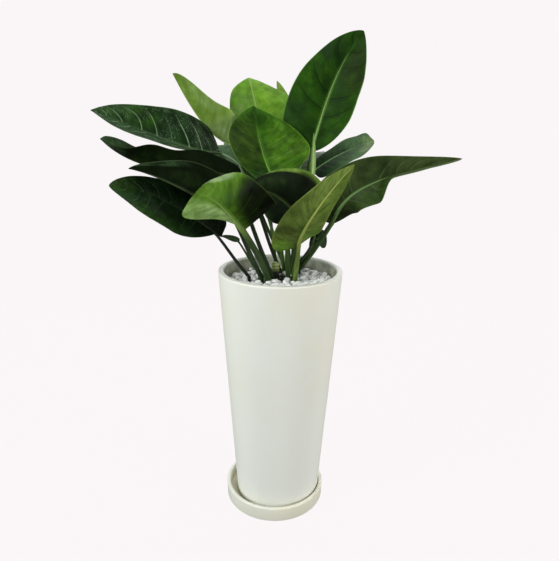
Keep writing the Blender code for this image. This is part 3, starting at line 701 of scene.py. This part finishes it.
def glaze_finish(name, colour, centre_x=0.0, low_tint=None, inner=None):
    """Satin off-white glaze, faintly mottled, with a beige-brown tint low in the saucer; the planter gets
    painted shade with a green cast on its inner wall, painted light towards its foot and painted shade at
    its lip.
    """
    finish = Finish(name, Roughness=0.45, Coat_Weight=0.08, Coat_Roughness=0.35)
    cloud = finish.noise(7.0, detail=4.0)
    warm = toned(colour, 0.985, 0.96, 0.90)
    finish.base = finish.mix(finish.spread(cloud, 0.35, 0.7), toned(colour, 1), warm)
    pits = finish.spread(finish.noise(420.0, detail=2.0), 0.68, 0.80)
    finish.lay(finish.times(pits, 0.18), toned(colour, 0.6, 0.55, 0.45))
    x, y, z = finish.xyz()
    reach = finish.maths("SQRT", finish.away(x, y, (centre_x, 0)))
    if low_tint is not None:
        # A darker beige-brown tint in blotches, low inside the saucer.
        low = finish.zone(z, SAUCER_FLOOR, LOW_TINT_TOP)
        inside = finish.zone(reach, 0, LOW_TINT_REACH)
        above = finish.zone(z, SAUCER_FLOOR, LOW_TINT_FOOT, 0.0, 1.0)
        blotches = finish.spread(finish.noise(60.0), 0.3, 0.7, 0.45, 0.95)
        finish.lay(finish.times(low, inside, above, blotches), toned(low_tint, 1))
    if inner is not None:
        # Painted shade with a green cast of light off the leaves, in patches, on the inner wall above the
        # chips.
        inside = finish.zone(reach, POT_RIM, INNER_SHADE_REACH)
        below = finish.zone(z, POT_HIGH.z, INNER_SHADE_TOP)
        upper = finish.zone(z, POT_HIGH.z, INNER_SHADE_FOOT, 0.0, 1.0)
        patches = finish.spread(finish.noise(48.0, detail=4.0), 0.38, 0.62)
        inner_shade = finish.mix(patches, toned(inner, 1), toned(inner, 0.6, 0.6, 0.52))
        finish.lay(finish.times(inside, below, upper), inner_shade)
        # Painted light: the planter's glaze grows paler towards its foot.
        finish.lay(finish.spread(z, POT_LOW.z, POT_HIGH.z + FOOT_LIGHT_END, 1.0, 0.0), toned(colour, 1.07))
        # Painted shade: the rim's rounded top is laid darker, fading just below it.
        finish.lay(finish.zone(z, POT_HIGH.z, LIP_SHADE, 0.0, 0.55), toned(colour, 0.62, 0.63, 0.6))
    finish.roughness(finish.spread(cloud, 0.3, 0.7, 0.40, 0.50))
    grain = finish.times(finish.noise(600.0), 0.25)
    finish.bump(finish.plus(finish.noise(90.0, detail=2.0), grain), 0.0006, 0.35)
    return finish.done()


def soil_finish():
    """Dark damp potting mix."""
    finish = Finish("potting_mix", Roughness=0.95)
    crumbs = finish.noise(260.0, detail=5.0)
    finish.base = finish.mix(finish.spread(crumbs, 0.35, 0.65), "#1d1610", "#4b3a2a")
    flecks = finish.spread(finish.noise(700.0, detail=1.0), 0.70, 0.74)
    finish.lay(finish.times(flecks, 0.5), "#8a7a62")
    finish.bump(crumbs, 0.003)
    return finish.done()


def marble_finish(colour):
    """White broken marble: sugary grain, grey veining, and painted shade on the chips in and round the
    hollow at the crown.
    """
    finish = Finish(
        "marble", Roughness=0.62, Subsurface_Weight=0.08, Subsurface_Radius=(0.004, 0.004, 0.004))
    grain = finish.noise(900.0, detail=2.0)
    cloud = finish.noise(85.0)
    grey = toned(colour, 0.80, 0.82, 0.81)
    finish.base = finish.mix(finish.spread(cloud, 0.38, 0.72), toned(colour, 1), grey)
    seam = finish.maths("ABSOLUTE", finish.maths("SUBTRACT", finish.noise(45.0, detail=5.0), 0.5))
    finish.lay(finish.spread(seam, 0.0, 0.014, 0.3, 0.0), "#a2a59e")
    # Painted shade: near black on the chips in and round the hollow at the crown.
    x, y, _ = finish.xyz()
    away = finish.away(x, y, HOLLOW[:2], HOLLOW[2:])
    finish.lay(finish.spread(finish.plus(away, cloud), 1.1, 1.9, 0.95, 0.0), "#191c12")
    finish.bump(finish.plus(grain, finish.times(cloud, 2.0)), 0.0006, 0.6)
    return finish.done()


def bark_finish():
    """Ringed green stem, pale where it is young, with painted shade where it leaves the chips."""
    finish = Finish("crown_bark", Roughness=0.55)
    z = finish.xyz()[2]
    height = finish.plus(z, finish.times(finish.noise(90.0), 0.003))
    from_line = finish.maths("SUBTRACT", height, CROWN_HIGH.z + CROWN_RING_LINE)
    ring = finish.maths("PINGPONG", from_line, CROWN_RING_HALF)
    finish.base = finish.mix(finish.noise(160.0), "#8ea252", "#c4d28e")
    finish.lay(finish.spread(ring, 0.0016, CROWN_RING_HALF, 0.0, 0.7), "#56642e")
    # Painted shade: near black at the stem's foot among the chips.
    finish.lay(finish.zone(z, CROWN_HIGH.z, CROWN_FOOT_SHADE), "#1c2412")
    finish.bump(finish.noise(500.0), 0.0005)
    return finish.done()


def leaf_finish(name, greens, look, duller):
    """One side of a blade: mottled green, patches of painted light and shade (some the leaf's own tone),
    veins, midrib zone and margin.
    """
    gloss = look.rough + duller
    finish = Finish(name, Roughness=gloss, Specular_IOR_Level=look.shine)
    phase, out = finish.uv("veins")
    across, along = finish.uv("leaf")
    cloud = finish.noise(14.0)
    patch = finish.noise(55.0)
    both = finish.plus(finish.times(cloud, 0.65), finish.times(patch, 0.35))
    finish.base = finish.mix(finish.spread(both, 0.3, 0.7), *GREENS[greens])

    # Patches of painted light and shade, some of them the leaf's own tone, with ragged edges.
    ragged = finish.times(finish.maths("SUBTRACT", cloud, 0.5), 0.8)
    for s, t, wide, tall, green, share in look.light_and_tone_patches:
        away = finish.plus(finish.away(across, along, (s, t), (wide, tall)), ragged)
        tint = finish.mix(finish.spread(patch, 0.3, 0.7), *GREENS[green])
        finish.lay(finish.times(finish.spread(away, 0.2, 1.1, 1.0, 0.0), share), tint)

    # Fine lines between the lateral veins, and broader streaks along them.
    deep = finish.mix(0.62, finish.base, (0.0, 0.004, 0.0, 1))
    fine = finish.spread(finish.maths("PINGPONG", finish.times(phase, 11.0), 0.5), 0.0, 0.5)
    finish.lay(finish.times(fine, 0.2), deep)
    streak = finish.noise(2.6, detail=4.0, place=finish.flat(phase, finish.times(out, 0.8)))
    finish.lay(finish.times(finish.spread(streak, 0.38, 0.64), look.streaks), deep)

    # The lateral veins with a shaded side, each of its own strength, worn and fading to the margin.
    number = {"W": finish.maths("ROUND", phase)}
    own = finish.node("ShaderNodeTexWhiteNoise", number, noise_dimensions="1D").outputs[0]
    own = finish.spread(own, 0.1, 0.8, 0.25, 1.0)
    worn = finish.spread(patch, 0.3, 0.6, 0.6, 1.0)
    fade = finish.times(finish.spread(out, 0.5, 0.97, 1.0, 0.05), worn, own, look.lines)
    shaded = finish.spread(finish.maths("FRACT", phase), 0.55, 0.97)
    finish.lay(finish.times(shaded, fade, 0.75), deep)
    line = finish.spread(finish.maths("PINGPONG", phase, 0.5), 0.0, 0.05, 1.0, 0.0)
    finish.lay(finish.times(line, fade), look.vein)

    # The midrib's tone beside it and along the margin, and dust over all.
    near = finish.spread(out, 0.0, 0.09, 0.45, 0.0)
    finish.lay(finish.times(near, finish.spread(along, 0.2, 1.0, 1.0, 0.1)), look.rib)
    finish.lay(finish.spread(out, 0.972, 0.992, 0.0, look.edge), look.rib)
    if look.dust:
        specks = finish.spread(finish.noise(420.0, detail=4.0, roughness=0.8), 0.54, 0.68)
        veil = finish.spread(finish.noise(35.0), 0.4, 0.65)
        finish.lay(finish.times(specks, veil, look.dust), DUST)
    finish.roughness(finish.spread(patch, 0.3, 0.7, gloss - 0.06, gloss + 0.08))
    skin = finish.plus(finish.times(fine, 0.5), finish.noise(700.0, detail=2.0))
    finish.bump(skin, 0.00025, 0.5)
    return finish.done()


def stalk_finish(name, look):
    """Stalk and midrib: green with darker streaks along it, turning to the midrib's tone in the blade, with
    painted shade on the side facing +x.
    """
    finish = Finish(name, Roughness=0.42, Specular_IOR_Level=0.16)
    stalk = screen_colour(look.stalk)
    around, along = finish.uv("stalk")
    streak = finish.noise(5.0, place=finish.flat(finish.times(around, 9.0), along))
    finish.base = finish.mix(finish.spread(streak, 0.35, 0.65), toned(stalk, 0.42), stalk)
    specks = finish.spread(finish.noise(800.0, detail=1.0), 0.68, 0.74)
    finish.lay(finish.times(specks, 0.25), look.rib)
    finish.lay(finish.spread(along, 0.75, 1.12), look.rib)
    # Painted shade on the side of the stalk that faces +x, away from the key lamp.
    right_side_shade = finish.spread(finish.maths("PINGPONG", around, 0.5), 0.2, 0.45, 0.0, 0.65)
    finish.lay(right_side_shade, toned(stalk, 0.3))
    finish.bump(streak, 0.0008, 0.5)
    return finish.done()


def round_column(radius, sides, location):
    """A flat disc that the turned pieces are raised from."""
    select_none()
    bpy.ops.mesh.primitive_circle_add(vertices=sides, radius=radius, fill_type="NGON", location=location)
    return bpy.context.object


def raise_faces(height, scale):
    """Extrude the selected face and widen or narrow it."""
    bpy.ops.mesh.extrude_region_move(TRANSFORM_OT_translate={"value": (0, 0, height)})
    bpy.ops.transform.resize(value=(scale, scale, 1))


def round_edge(item, level, radius, offset, segments):
    """Round the ring of edges at one height and radius of an edited turned piece."""
    def on_ring(point):
        away = abs(math.hypot(point.x, point.y) - radius)
        return abs(point.z - level) < RING_LEVEL and away < RING_RADIUS
    pick(item, "EDGE", on_ring)
    bpy.ops.mesh.bevel(offset=offset, segments=segments, profile=0.5, affect="EDGES")


class PHILODENDRON_OT_pot(bpy.types.Operator):
    """Raise the tapered planter from a disc, hollow it, open its drain and round its edges"""
    bl_idname = "philodendron.pot"
    bl_label = "Planter"

    def execute(self, context):
        pot = context.scene.philodendron_pot
        height = POT_HIGH.z - POT_LOW.z
        rim_inner = POT_RIM - pot.wall
        taper = (POT_RIM - pot.foot_radius) / height
        floor_radius = pot.foot_radius + taper * POT_FLOOR - pot.wall
        item = round_column(pot.foot_radius, pot.sides, (POT_X, 0, POT_LOW.z))
        edit(item, "SELECT")
        raise_faces(height, POT_RIM / pot.foot_radius)
        bpy.ops.mesh.inset(thickness=pot.wall)
        raise_faces(POT_FLOOR - height, floor_radius / rim_inner)
        bpy.ops.mesh.inset(thickness=floor_radius - pot.drain_radius)
        pick(item, "FACE", lambda point: abs(point.z) < SAME_LEVEL)
        bpy.ops.mesh.inset(thickness=pot.foot_radius - pot.drain_radius)
        leave_edit()
        edit(item)
        bm = bmesh.from_edit_mesh(item.data)
        bpy.ops.mesh.select_mode(type="FACE")
        for face in bm.faces:
            face.select_set(len(face.verts) > 4)
        bmesh.update_edit_mesh(item.data)
        bpy.ops.mesh.bridge_edge_loops()
        face_outwards()
        round_edge(item, height, POT_RIM, pot.lip, LIP_FACES)
        round_edge(item, height, rim_inner, pot.lip * POT_INNER_LIP, LIP_FACES)
        round_edge(item, 0, pot.foot_radius, *POT_FOOT_EDGE)
        round_edge(item, POT_FLOOR, floor_radius, *POT_FLOOR_EDGE)
        leave_edit()
        smooth(item, degrees=35)
        finish = glaze_finish("planter_glaze", pot.glaze, centre_x=POT_X, inner=pot.inside)
        settle(item, "planter", [finish], "pot", "pot_glaze")
        return {"FINISHED"}


class PHILODENDRON_OT_saucer(bpy.types.Operator):
    """Raise the shallow saucer from a disc, sink its inside and round its edges"""
    bl_idname = "philodendron.saucer"
    bl_label = "Saucer"

    def execute(self, context):
        pot = context.scene.philodendron_pot
        height = SAUCER_HIGH.z - SAUCER_LOW.z
        rim = (SAUCER_HIGH.x - SAUCER_LOW.x) / 2 + SAUCER_RIM_LOSS
        inner = rim - pot.saucer_wall
        floor_radius = inner - SAUCER_NARROWING
        item = round_column(pot.saucer_foot, pot.sides, (0, 0, 0))
        edit(item, "SELECT")
        raise_faces(height, rim / pot.saucer_foot)
        bpy.ops.mesh.inset(thickness=pot.saucer_wall)
        raise_faces(SAUCER_FLOOR - height, floor_radius / inner)
        face_outwards()
        levels = (height, height, 0, SAUCER_FLOOR)
        radii = (rim, inner, pot.saucer_foot, floor_radius)
        for level, radius, rounding in zip(levels, radii, SAUCER_EDGES):
            round_edge(item, level, radius, *rounding)
        leave_edit()
        smooth(item, degrees=35)
        finish = glaze_finish("saucer_glaze", pot.saucer_glaze, low_tint=pot.low_tint)
        settle(item, "saucer_dish", [finish], "saucer", "saucer_glaze")
        return {"FINISHED"}


class PHILODENDRON_OT_soil(bpy.types.Operator):
    """Give the potting mix its dark crumbly surface"""
    bl_idname = "philodendron.soil"
    bl_label = "Soil"

    def execute(self, context):
        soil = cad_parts["soil"]
        soil.data.materials.clear()
        soil.data.materials.append(soil_finish())
        return {"FINISHED"}


def broken_chip(dice):
    """One angular stone: a ball with several sides sliced flat and its edges worn."""
    select_none()
    bpy.ops.mesh.primitive_ico_sphere_add(subdivisions=1, radius=CHIP_BALL, location=(0, 0, 0))
    chip = bpy.context.object
    edit(chip)
    for _ in range(CHIP_CUTS):
        way = Vector((dice.gauss(0, 1), dice.gauss(0, 1), dice.gauss(0, 1))).normalized()
        bpy.ops.mesh.select_all(action="SELECT")
        bpy.ops.mesh.bisect(
            plane_co=way * dice.uniform(*CHIP_CUT_DEPTH), plane_no=way, use_fill=True, clear_outer=True)
    leave_edit()
    apply_modifier(
        chip, "BEVEL", width=CHIP_WEAR, segments=1, limit_method="ANGLE", angle_limit=math.radians(25))
    mesh = chip.data.copy()
    bpy.data.objects.remove(chip, do_unlink=True)
    return mesh


def chip_layer(dice, chips, level, rise, share, size_scale):
    """Seeded places for one layer of chips, clear of the stalks and the wall."""
    feet = [(*leaf.foot, leaf.stalk) for leaf in LEAVES.values()] + [(*CROWN_PLACE, CROWN_RADIUS)]
    reach = int(CHIP_FIELD / chips.spacing) + 2
    places = []
    for row in range(-reach, reach + 1):
        for column in range(-reach, reach + 1):
            size = dice.uniform(chips.smallest, chips.largest) * size_scale
            x = POT_X + (column + 0.5 * (row % 2)) * chips.spacing + dice.uniform(-CHIP_STRAY, CHIP_STRAY)
            y = row * chips.spacing * CHIP_ROW + dice.uniform(-CHIP_STRAY, CHIP_STRAY)
            z = level + dice.uniform(0, rise)
            kept = dice.random() < share
            inside = math.hypot(x - POT_X, y) + size < CHIP_WALL
            clear = all(
                math.hypot(x - fx, y - fy) > size * CHIP_CLEARANCE + radius for fx, fy, radius in feet)
            hollow = math.hypot((x - HOLLOW[0]) / HOLLOW[2], (y - HOLLOW[1]) / HOLLOW[3]) < 1
            if kept and inside and clear and not (hollow and level > BED_LEVEL):
                places.append((x, y, z, size))
    return places


class PHILODENDRON_OT_chips(bpy.types.Operator):
    """Break a few marble chips and pile copies of them over the soil"""
    bl_idname = "philodendron.chips"
    bl_label = "Marble chips"

    def execute(self, context):
        chips = context.scene.philodendron_chips
        dice = random.Random(chips.seed)
        stones = [broken_chip(dice) for _ in range(CHIP_KINDS)]
        places = []
        for above, rise, share, size_scale in CHIP_LAYERS:
            places += chip_layer(dice, chips, BED_LEVEL + above, rise, share, size_scale)
        bm = bmesh.new()
        for x, y, z, size in places:
            angle = dice.uniform(0, math.tau)
            turn = Matrix.Rotation(angle, 4, Vector((dice.gauss(0, 1), dice.gauss(0, 1), 0.5)))
            flat = Matrix.Diagonal((*(dice.uniform(*limits) for limits in CHIP_SQUASH), 1))
            start = len(bm.verts)
            bm.from_mesh(dice.choice(stones))
            bm.verts.ensure_lookup_table()
            move = Matrix.Translation((x, y, z)) @ Matrix.Scale(size, 4) @ flat @ turn
            bmesh.ops.transform(bm, matrix=move, verts=bm.verts[start:])
        mesh = bpy.data.meshes.new("marble_chips")
        bm.to_mesh(mesh)
        bm.free()
        for stone in stones:
            bpy.data.meshes.remove(stone)
        item = bpy.data.objects.new("marble_chips", mesh)
        context.scene.collection.objects.link(item)
        smooth(item, degrees=20)
        settle(item, "marble_chips", [marble_finish(chips.marble)], "pebbles", "marble_chips")
        return {"FINISHED"}


class PHILODENDRON_OT_crown(bpy.types.Operator):
    """Raise the short ringed stem at the heart of the plant"""
    bl_idname = "philodendron.crown"
    bl_label = "Crown stem"

    def execute(self, context):
        item = round_column(CROWN_RADIUS, CROWN_SIDES, (*CROWN_PLACE, CROWN_LOW.z))
        edit(item, "SELECT")
        raise_faces(CROWN_HIGH.z - CROWN_DOME - CROWN_LOW.z - CROWN_RINGED, 1.0)
        for height, scale in CROWN_RING * CROWN_RINGS + CROWN_TOP:
            raise_faces(height, scale)
        face_outwards()
        leave_edit()
        apply_modifier(
            item, "BEVEL", width=CROWN_WEAR, segments=2, limit_method="ANGLE", angle_limit=math.radians(15))
        smooth(item, degrees=40)
        settle(item, "crown", [bark_finish()], "crown_stem", "crown_bark")
        return {"FINISHED"}


def bezier(points, t):
    """A point of a cubic curve."""
    a, b, c, d = (Vector(point) for point in points)
    return a * (1 - t)**3 + b * 3 * t * (1 - t)**2 + c * 3 * t**2 * (1 - t) + d * t**3


def bezier_slope(points, t):
    """The unit direction of a cubic curve."""
    a, b, c, d = (Vector(point) for point in points)
    return ((b - a) * (1 - t)**2 + (c - b) * 2 * t * (1 - t) + (d - c) * t**2).normalized()


def stations(values, t):
    """Values given at even stations along the rib, eased from one to the next."""
    spans = len(values) - 1
    place = min(max(t, 0), 1) * spans
    index = min(int(place), spans - 1)
    share = place - index
    share = share * share * (3 - 2 * share)
    return values[index] * (1 - share) + values[index + 1] * share


def outline(t, shape):
    """Half width along the rib as a share of the widest, 0 at base and tip."""
    base, tip = shape
    peak = base / (base + tip)
    return (t / peak)**base * ((1 - t) / (1 - peak))**tip


def rib_frame(leaf, t):
    """Place, direction, upper-side normal and right-hand side of the rib."""
    place, along = bezier(leaf.rib, t), bezier_slope(leaf.rib, t)
    share = 3 * t**2 - 2 * t**3
    face = Vector(leaf.face[0]) * (1 - share) + Vector(leaf.face[1]) * share
    up = (face - along * face.dot(along)).normalized()
    return place, along, up, along.cross(up)


def blade_point(leaf, rib, t, s):
    """A point of the blade: t runs from base to tip, s from the left margin to the right one."""
    side = 0 if s < 0 else 1
    place, along, up, right = rib
    out = leaf.half[side] * outline(t, leaf.shape[side]) * abs(s)
    angle = math.radians(stations(leaf.lift[side], t) - leaf.curl[side] * abs(s) / 2)
    waves, phase = leaf.beat
    ripple = leaf.wave * s * s * math.sin(math.tau * (waves * t + phase + RIGHT_WAVE * side))
    ripple *= math.sqrt(max(math.sin(math.pi * t), 0))
    back = leaf.lobe[side] * s * s * (1 - t)**LOBE_POWER
    side_step = right * math.copysign(out * math.cos(angle), s)
    return place + side_step + up * (out * math.sin(angle) + ripple) - along * back


def vein_phase(t, s, count):
    """Counts lateral veins: whole numbers lie on veins that leave the rib and bend towards the tip."""
    side = 0 if s < 0 else 1
    along, across, other = STRAY_GRAIN
    stray = VEIN_STRAY * noise.noise(Vector((t * along * count, across * side, other * count)))
    return count * (t - VEIN_LEAN * abs(s) - VEIN_BEND * s * s) + stray + RIGHT_VEINS * side


def formed_grid(columns, rows, form, maps):
    """A grid placed by a formula of its across (-1 to 1) and along (0 to 1), with UV maps by formula too."""
    select_none()
    bpy.ops.mesh.primitive_grid_add(x_subdivisions=columns, y_subdivisions=rows, size=2, location=(0, 0, 0))
    item = bpy.context.object
    mesh = item.data
    while mesh.uv_layers:
        mesh.uv_layers.remove(mesh.uv_layers[0])
    spots = [(vertex.co.x, (vertex.co.y + 1) / 2) for vertex in mesh.vertices]
    for vertex, (across, along) in zip(mesh.vertices, spots):
        vertex.co = form(across, along)
    for name, rule in maps.items():
        layer = mesh.uv_layers.new(name=name)
        values = [rule(*spot) for spot in spots]
        for loop in mesh.loops:
            layer.data[loop.index].uv = values[loop.vertex_index]
    mesh.update()
    return item, spots


def merge_points(item):
    """Join the points of an object that lie on each other, and stay in edit mode."""
    edit(item, "SELECT")
    bpy.ops.mesh.remove_doubles(threshold=SAME_POINT)


def even_rows(v):
    """Rows along the blade, a little closer at both ends."""
    return ROW_EASE * (1 - math.cos(math.pi * v)) + ROW_STEADY * v


def raise_veins(item, spots, leaf, count, relief, swell):
    """Puff the blade up between its lateral veins and let it undulate, flat at the rib and the ends."""
    mesh = item.data
    normals = [vertex.normal.copy() for vertex in mesh.vertices]
    for vertex, normal, (s, v) in zip(mesh.vertices, normals, spots):
        t = even_rows(v)
        puff = abs(math.sin(math.pi * vein_phase(t, s, count)))**FURROW_POWER - FURROW_DEPTH
        fade = min(1, abs(s) * RIB_START) * min(1, END_START * t) * min(1, END_START * (1 - t))
        fade *= 1 - MARGIN_FADE * s * s
        slow = swell * abs(s) * noise.noise(vertex.co * SWELL_GRAIN)
        slow *= min(1, SWELL_START * t)
        slow *= min(1, SWELL_START * (1 - t))
        vertex.co += normal * (relief * puff * fade + slow)
    mesh.update()


def make_blade(name, leaf, look, leaves):
    """A blade as a fine sheet with veins in relief, two sides and a pale edge."""
    ribs = {}

    def form(s, v):
        t = even_rows(v)
        if v not in ribs:
            ribs[v] = rib_frame(leaf, t)
        return blade_point(leaf, ribs[v], t, s)

    maps = {
        "leaf": lambda s, v: (s, even_rows(v)),
        "veins": lambda s, v: (vein_phase(even_rows(v), s, look.veins), abs(s)),
    }
    item, spots = formed_grid(leaves.columns, leaves.rows, form, maps)
    raise_veins(item, spots, leaf, look.veins, leaves.relief * look.sink, leaves.swell)
    merge_points(item)
    leave_edit()
    finishes = [
        leaf_finish(name + "_upper", look.upper, look, 0),
        leaf_finish(name + "_under", look.under, look, UNDER_DULLER),
    ]
    for finish in finishes:
        item.data.materials.append(finish)
    apply_modifier(
        item, "SOLIDIFY", thickness=leaves.thickness, offset=0, material_offset=1, material_offset_rim=1)
    smooth(item, degrees=60)
    settle(item, "blade_" + name, [], "leaf_" + name, look.slot)


def stalk_course(leaf):
    """Places, radii and running values of the stalk up to the blade and on along the rib's underside."""
    radius = leaf.stalk
    foot, base = Vector((*leaf.foot, STALK_CLEAR_Z)), Vector(leaf.rib[0])
    span = (base - foot).length
    lean = (base - foot).normalized()
    rise = (lean + Vector((0, 0, leaf.bow))).normalized()
    into = (bezier_slope(leaf.rib, 0) * STALK_BEND + lean).normalized()
    end = base - rib_frame(leaf, 0)[2] * radius * ((1 - STALK_TAPER) / 2)
    first, second = STALK_HANDLES
    curve = (foot, foot + rise * span * first, end - into * span * second, end)
    bottom = Vector((*leaf.foot, STALK_BOTTOM))
    buried = Vector((*leaf.foot, STALK_CLEAR_Z - STALK_BURIED))
    course = [(bottom, 0.0, 0.0), (bottom, radius, 0.0), (buried, radius, RUN_BURIED)]
    for step in range(STALK_STEPS):
        share = step / STALK_STEPS
        run = RUN_CLEAR + (1 - RUN_CLEAR) * share
        course.append((bezier(curve, share), radius * (1 - STALK_TAPER * share), run))
    for step in range(RIB_STEPS + 1):
        t = RIB_END * step / RIB_STEPS
        place, _, up, _ = rib_frame(leaf, t)
        taper = 1 - STALK_TAPER - RIB_TAPER * t
        thick = radius * taper * (1 - t / RIB_END)**RIB_POINT + RIB_LEAST
        course.append((place - up * thick * 0.5, thick, 1 + t))
    course.append((course[-1][0] + bezier_slope(leaf.rib, RIB_END) * RIB_TIP, 0.0, 2.0))
    return course


def make_stalk(name, leaf, look, leaves):
    """The stalk and midrib as one tapering tube."""
    course = stalk_course(leaf)
    count = len(course) - 1
    centres = [point[0] for point in course]
    frames = []
    side = Vector((1, 0, 0))
    for index in range(count + 1):
        ahead, behind = centres[min(index + 1, count)], centres[max(index - 1, 0)]
        way = (ahead - behind).normalized()
        side = (side - way * side.dot(way)).normalized()
        frames.append((side.copy(), way.cross(side)))

    def form(across, v):
        index = round(v * count)
        centre, radius, _ = course[index]
        turn = math.pi * across
        first, second = frames[index]
        return centre + (first * math.cos(turn) + second * math.sin(turn)) * radius

    maps = {"stalk": lambda across, v: ((across + 1) / 2, course[round(v * count)][2])}
    item, _ = formed_grid(leaves.stalk_sides, count, form, maps)
    merge_points(item)
    face_outwards()
    leave_edit()
    smooth(item, degrees=70)
    settle(item, "stalk_" + name, [stalk_finish(name + "_stalk", look)], "leaf_" + name, look.slot)


class PHILODENDRON_OT_leaves(bpy.types.Operator):
    """Grow every blade with its veins, and its stalk with the midrib"""
    bl_idname = "philodendron.leaves"
    bl_label = "Leaves"

    def execute(self, context):
        leaves = context.scene.philodendron_leaves
        for name, leaf in LEAVES.items():
            make_blade(name, leaf, LOOKS[name], leaves)
            make_stalk(name, leaf, LOOKS[name], leaves)
        return {"FINISHED"}


def lamp(name, power, place, size, colour):
    """A square soft lamp turned to the heart of the plant."""
    data = bpy.data.lights.new(name, "AREA")
    data.shape = "SQUARE"
    data.size = size
    data.energy = power
    data.color = colour
    item = bpy.data.objects.new(name, data)
    item.location = place
    item.rotation_euler = (Vector(HEART) - Vector(place)).to_track_quat("-Z", "Y").to_euler()
    bpy.context.scene.collection.objects.link(item)


class PHILODENDRON_OT_studio(bpy.types.Operator):
    """Lay the pale floor, hang soft lamps and set the camera where the photo was taken"""
    bl_idname = "philodendron.studio"
    bl_label = "Studio"

    def execute(self, context):
        studio = context.scene.philodendron_studio
        select_none()
        bpy.ops.mesh.primitive_plane_add(size=FLOOR_SIZE, location=FLOOR_MIDDLE)
        floor = context.object
        far = FLOOR_SIZE / 2 - FLOOR_EDGE
        edit(floor)
        pick(floor, "EDGE", lambda point: point.y > far)
        bpy.ops.mesh.extrude_region_move(TRANSFORM_OT_translate={"value": (0, 0, WALL_HEIGHT)})
        pick(floor, "EDGE", lambda point: point.y > far and point.z < FLOOR_EDGE)
        bpy.ops.mesh.bevel(offset=COVE, segments=COVE_FACES, profile=0.5, affect="EDGES")
        face_outwards()
        leave_edit()
        smooth(floor, degrees=60)
        floor.name = "studio_floor"
        finish = Finish(
            "studio_paper", Roughness=0.9, Specular_IOR_Level=0.0, Emission_Color=PAPER_GLOW,
            Emission_Strength=studio.glow)
        finish.base = toned(studio.floor, 1)
        floor.data.materials.append(finish.done())
        floor.visible_diffuse = False
        floor.visible_glossy = False
        for name, placing in LAMPS.items():
            lamp(name + "_lamp", getattr(studio, name), *placing)
        world = bpy.data.worlds.new("studio_air")
        world.use_nodes = True
        air = world.node_tree.nodes["Background"].inputs
        air[0].default_value = (1, 1, 1, 1)
        air[1].default_value = studio.sky
        context.scene.world = world
        context.scene.view_settings.view_transform = "Standard"
        data = bpy.data.cameras.new("camera")
        data.lens = studio.lens
        data.sensor_width = FILM
        data.clip_start = NEAREST
        camera = bpy.data.objects.new("camera", data)
        level = Matrix.Rotation(math.pi / 2 - studio.pitch, 4, "X")
        camera.matrix_world = Matrix.Translation(studio.eye) @ level @ Matrix.Rotation(studio.roll, 4, "Z")
        context.scene.collection.objects.link(camera)
        context.scene.camera = camera
        return {"FINISHED"}


OPERATORS = (
    PHILODENDRON_OT_pot, PHILODENDRON_OT_saucer, PHILODENDRON_OT_soil, PHILODENDRON_OT_chips,
    PHILODENDRON_OT_crown, PHILODENDRON_OT_leaves, PHILODENDRON_OT_studio)


class PHILODENDRON_PT_sidebar(bpy.types.Panel):
    """Lists the steps that dress the plant"""
    bl_idname = "PHILODENDRON_PT_sidebar"
    bl_label = "Potted Philodendron"
    bl_space_type = "VIEW_3D"
    bl_region_type = "UI"
    bl_category = "Philodendron"

    def draw(self, context):
        for operator in OPERATORS:
            self.layout.operator(operator.bl_idname)
        for group in ("pot", "chips", "leaves", "studio"):
            settings = getattr(context.scene, "philodendron_" + group)
            box = self.layout.box()
            for key in settings.__annotations__:
                box.prop(settings, key)


SETTINGS = {
    "philodendron_pot": PotSettings, "philodendron_chips": ChipSettings,
    "philodendron_leaves": LeafSettings, "philodendron_studio": StudioSettings}


def register():
    for group in SETTINGS.values():
        bpy.utils.register_class(group)
    for name, group in SETTINGS.items():
        setattr(bpy.types.Scene, name, PointerProperty(type=group))
    for operator in OPERATORS:
        bpy.utils.register_class(operator)
    bpy.utils.register_class(PHILODENDRON_PT_sidebar)


def unregister():
    bpy.utils.unregister_class(PHILODENDRON_PT_sidebar)
    for operator in reversed(OPERATORS):
        bpy.utils.unregister_class(operator)
    for name in SETTINGS:
        delattr(bpy.types.Scene, name)
    for group in SETTINGS.values():
        bpy.utils.unregister_class(group)


def main():
    register()
    bpy.ops.philodendron.pot()
    bpy.ops.philodendron.saucer()
    bpy.ops.philodendron.soil()
    bpy.ops.philodendron.chips()
    bpy.ops.philodendron.crown()
    bpy.ops.philodendron.leaves()
    bpy.ops.philodendron.studio()


if __name__ == "__main__":
    main()
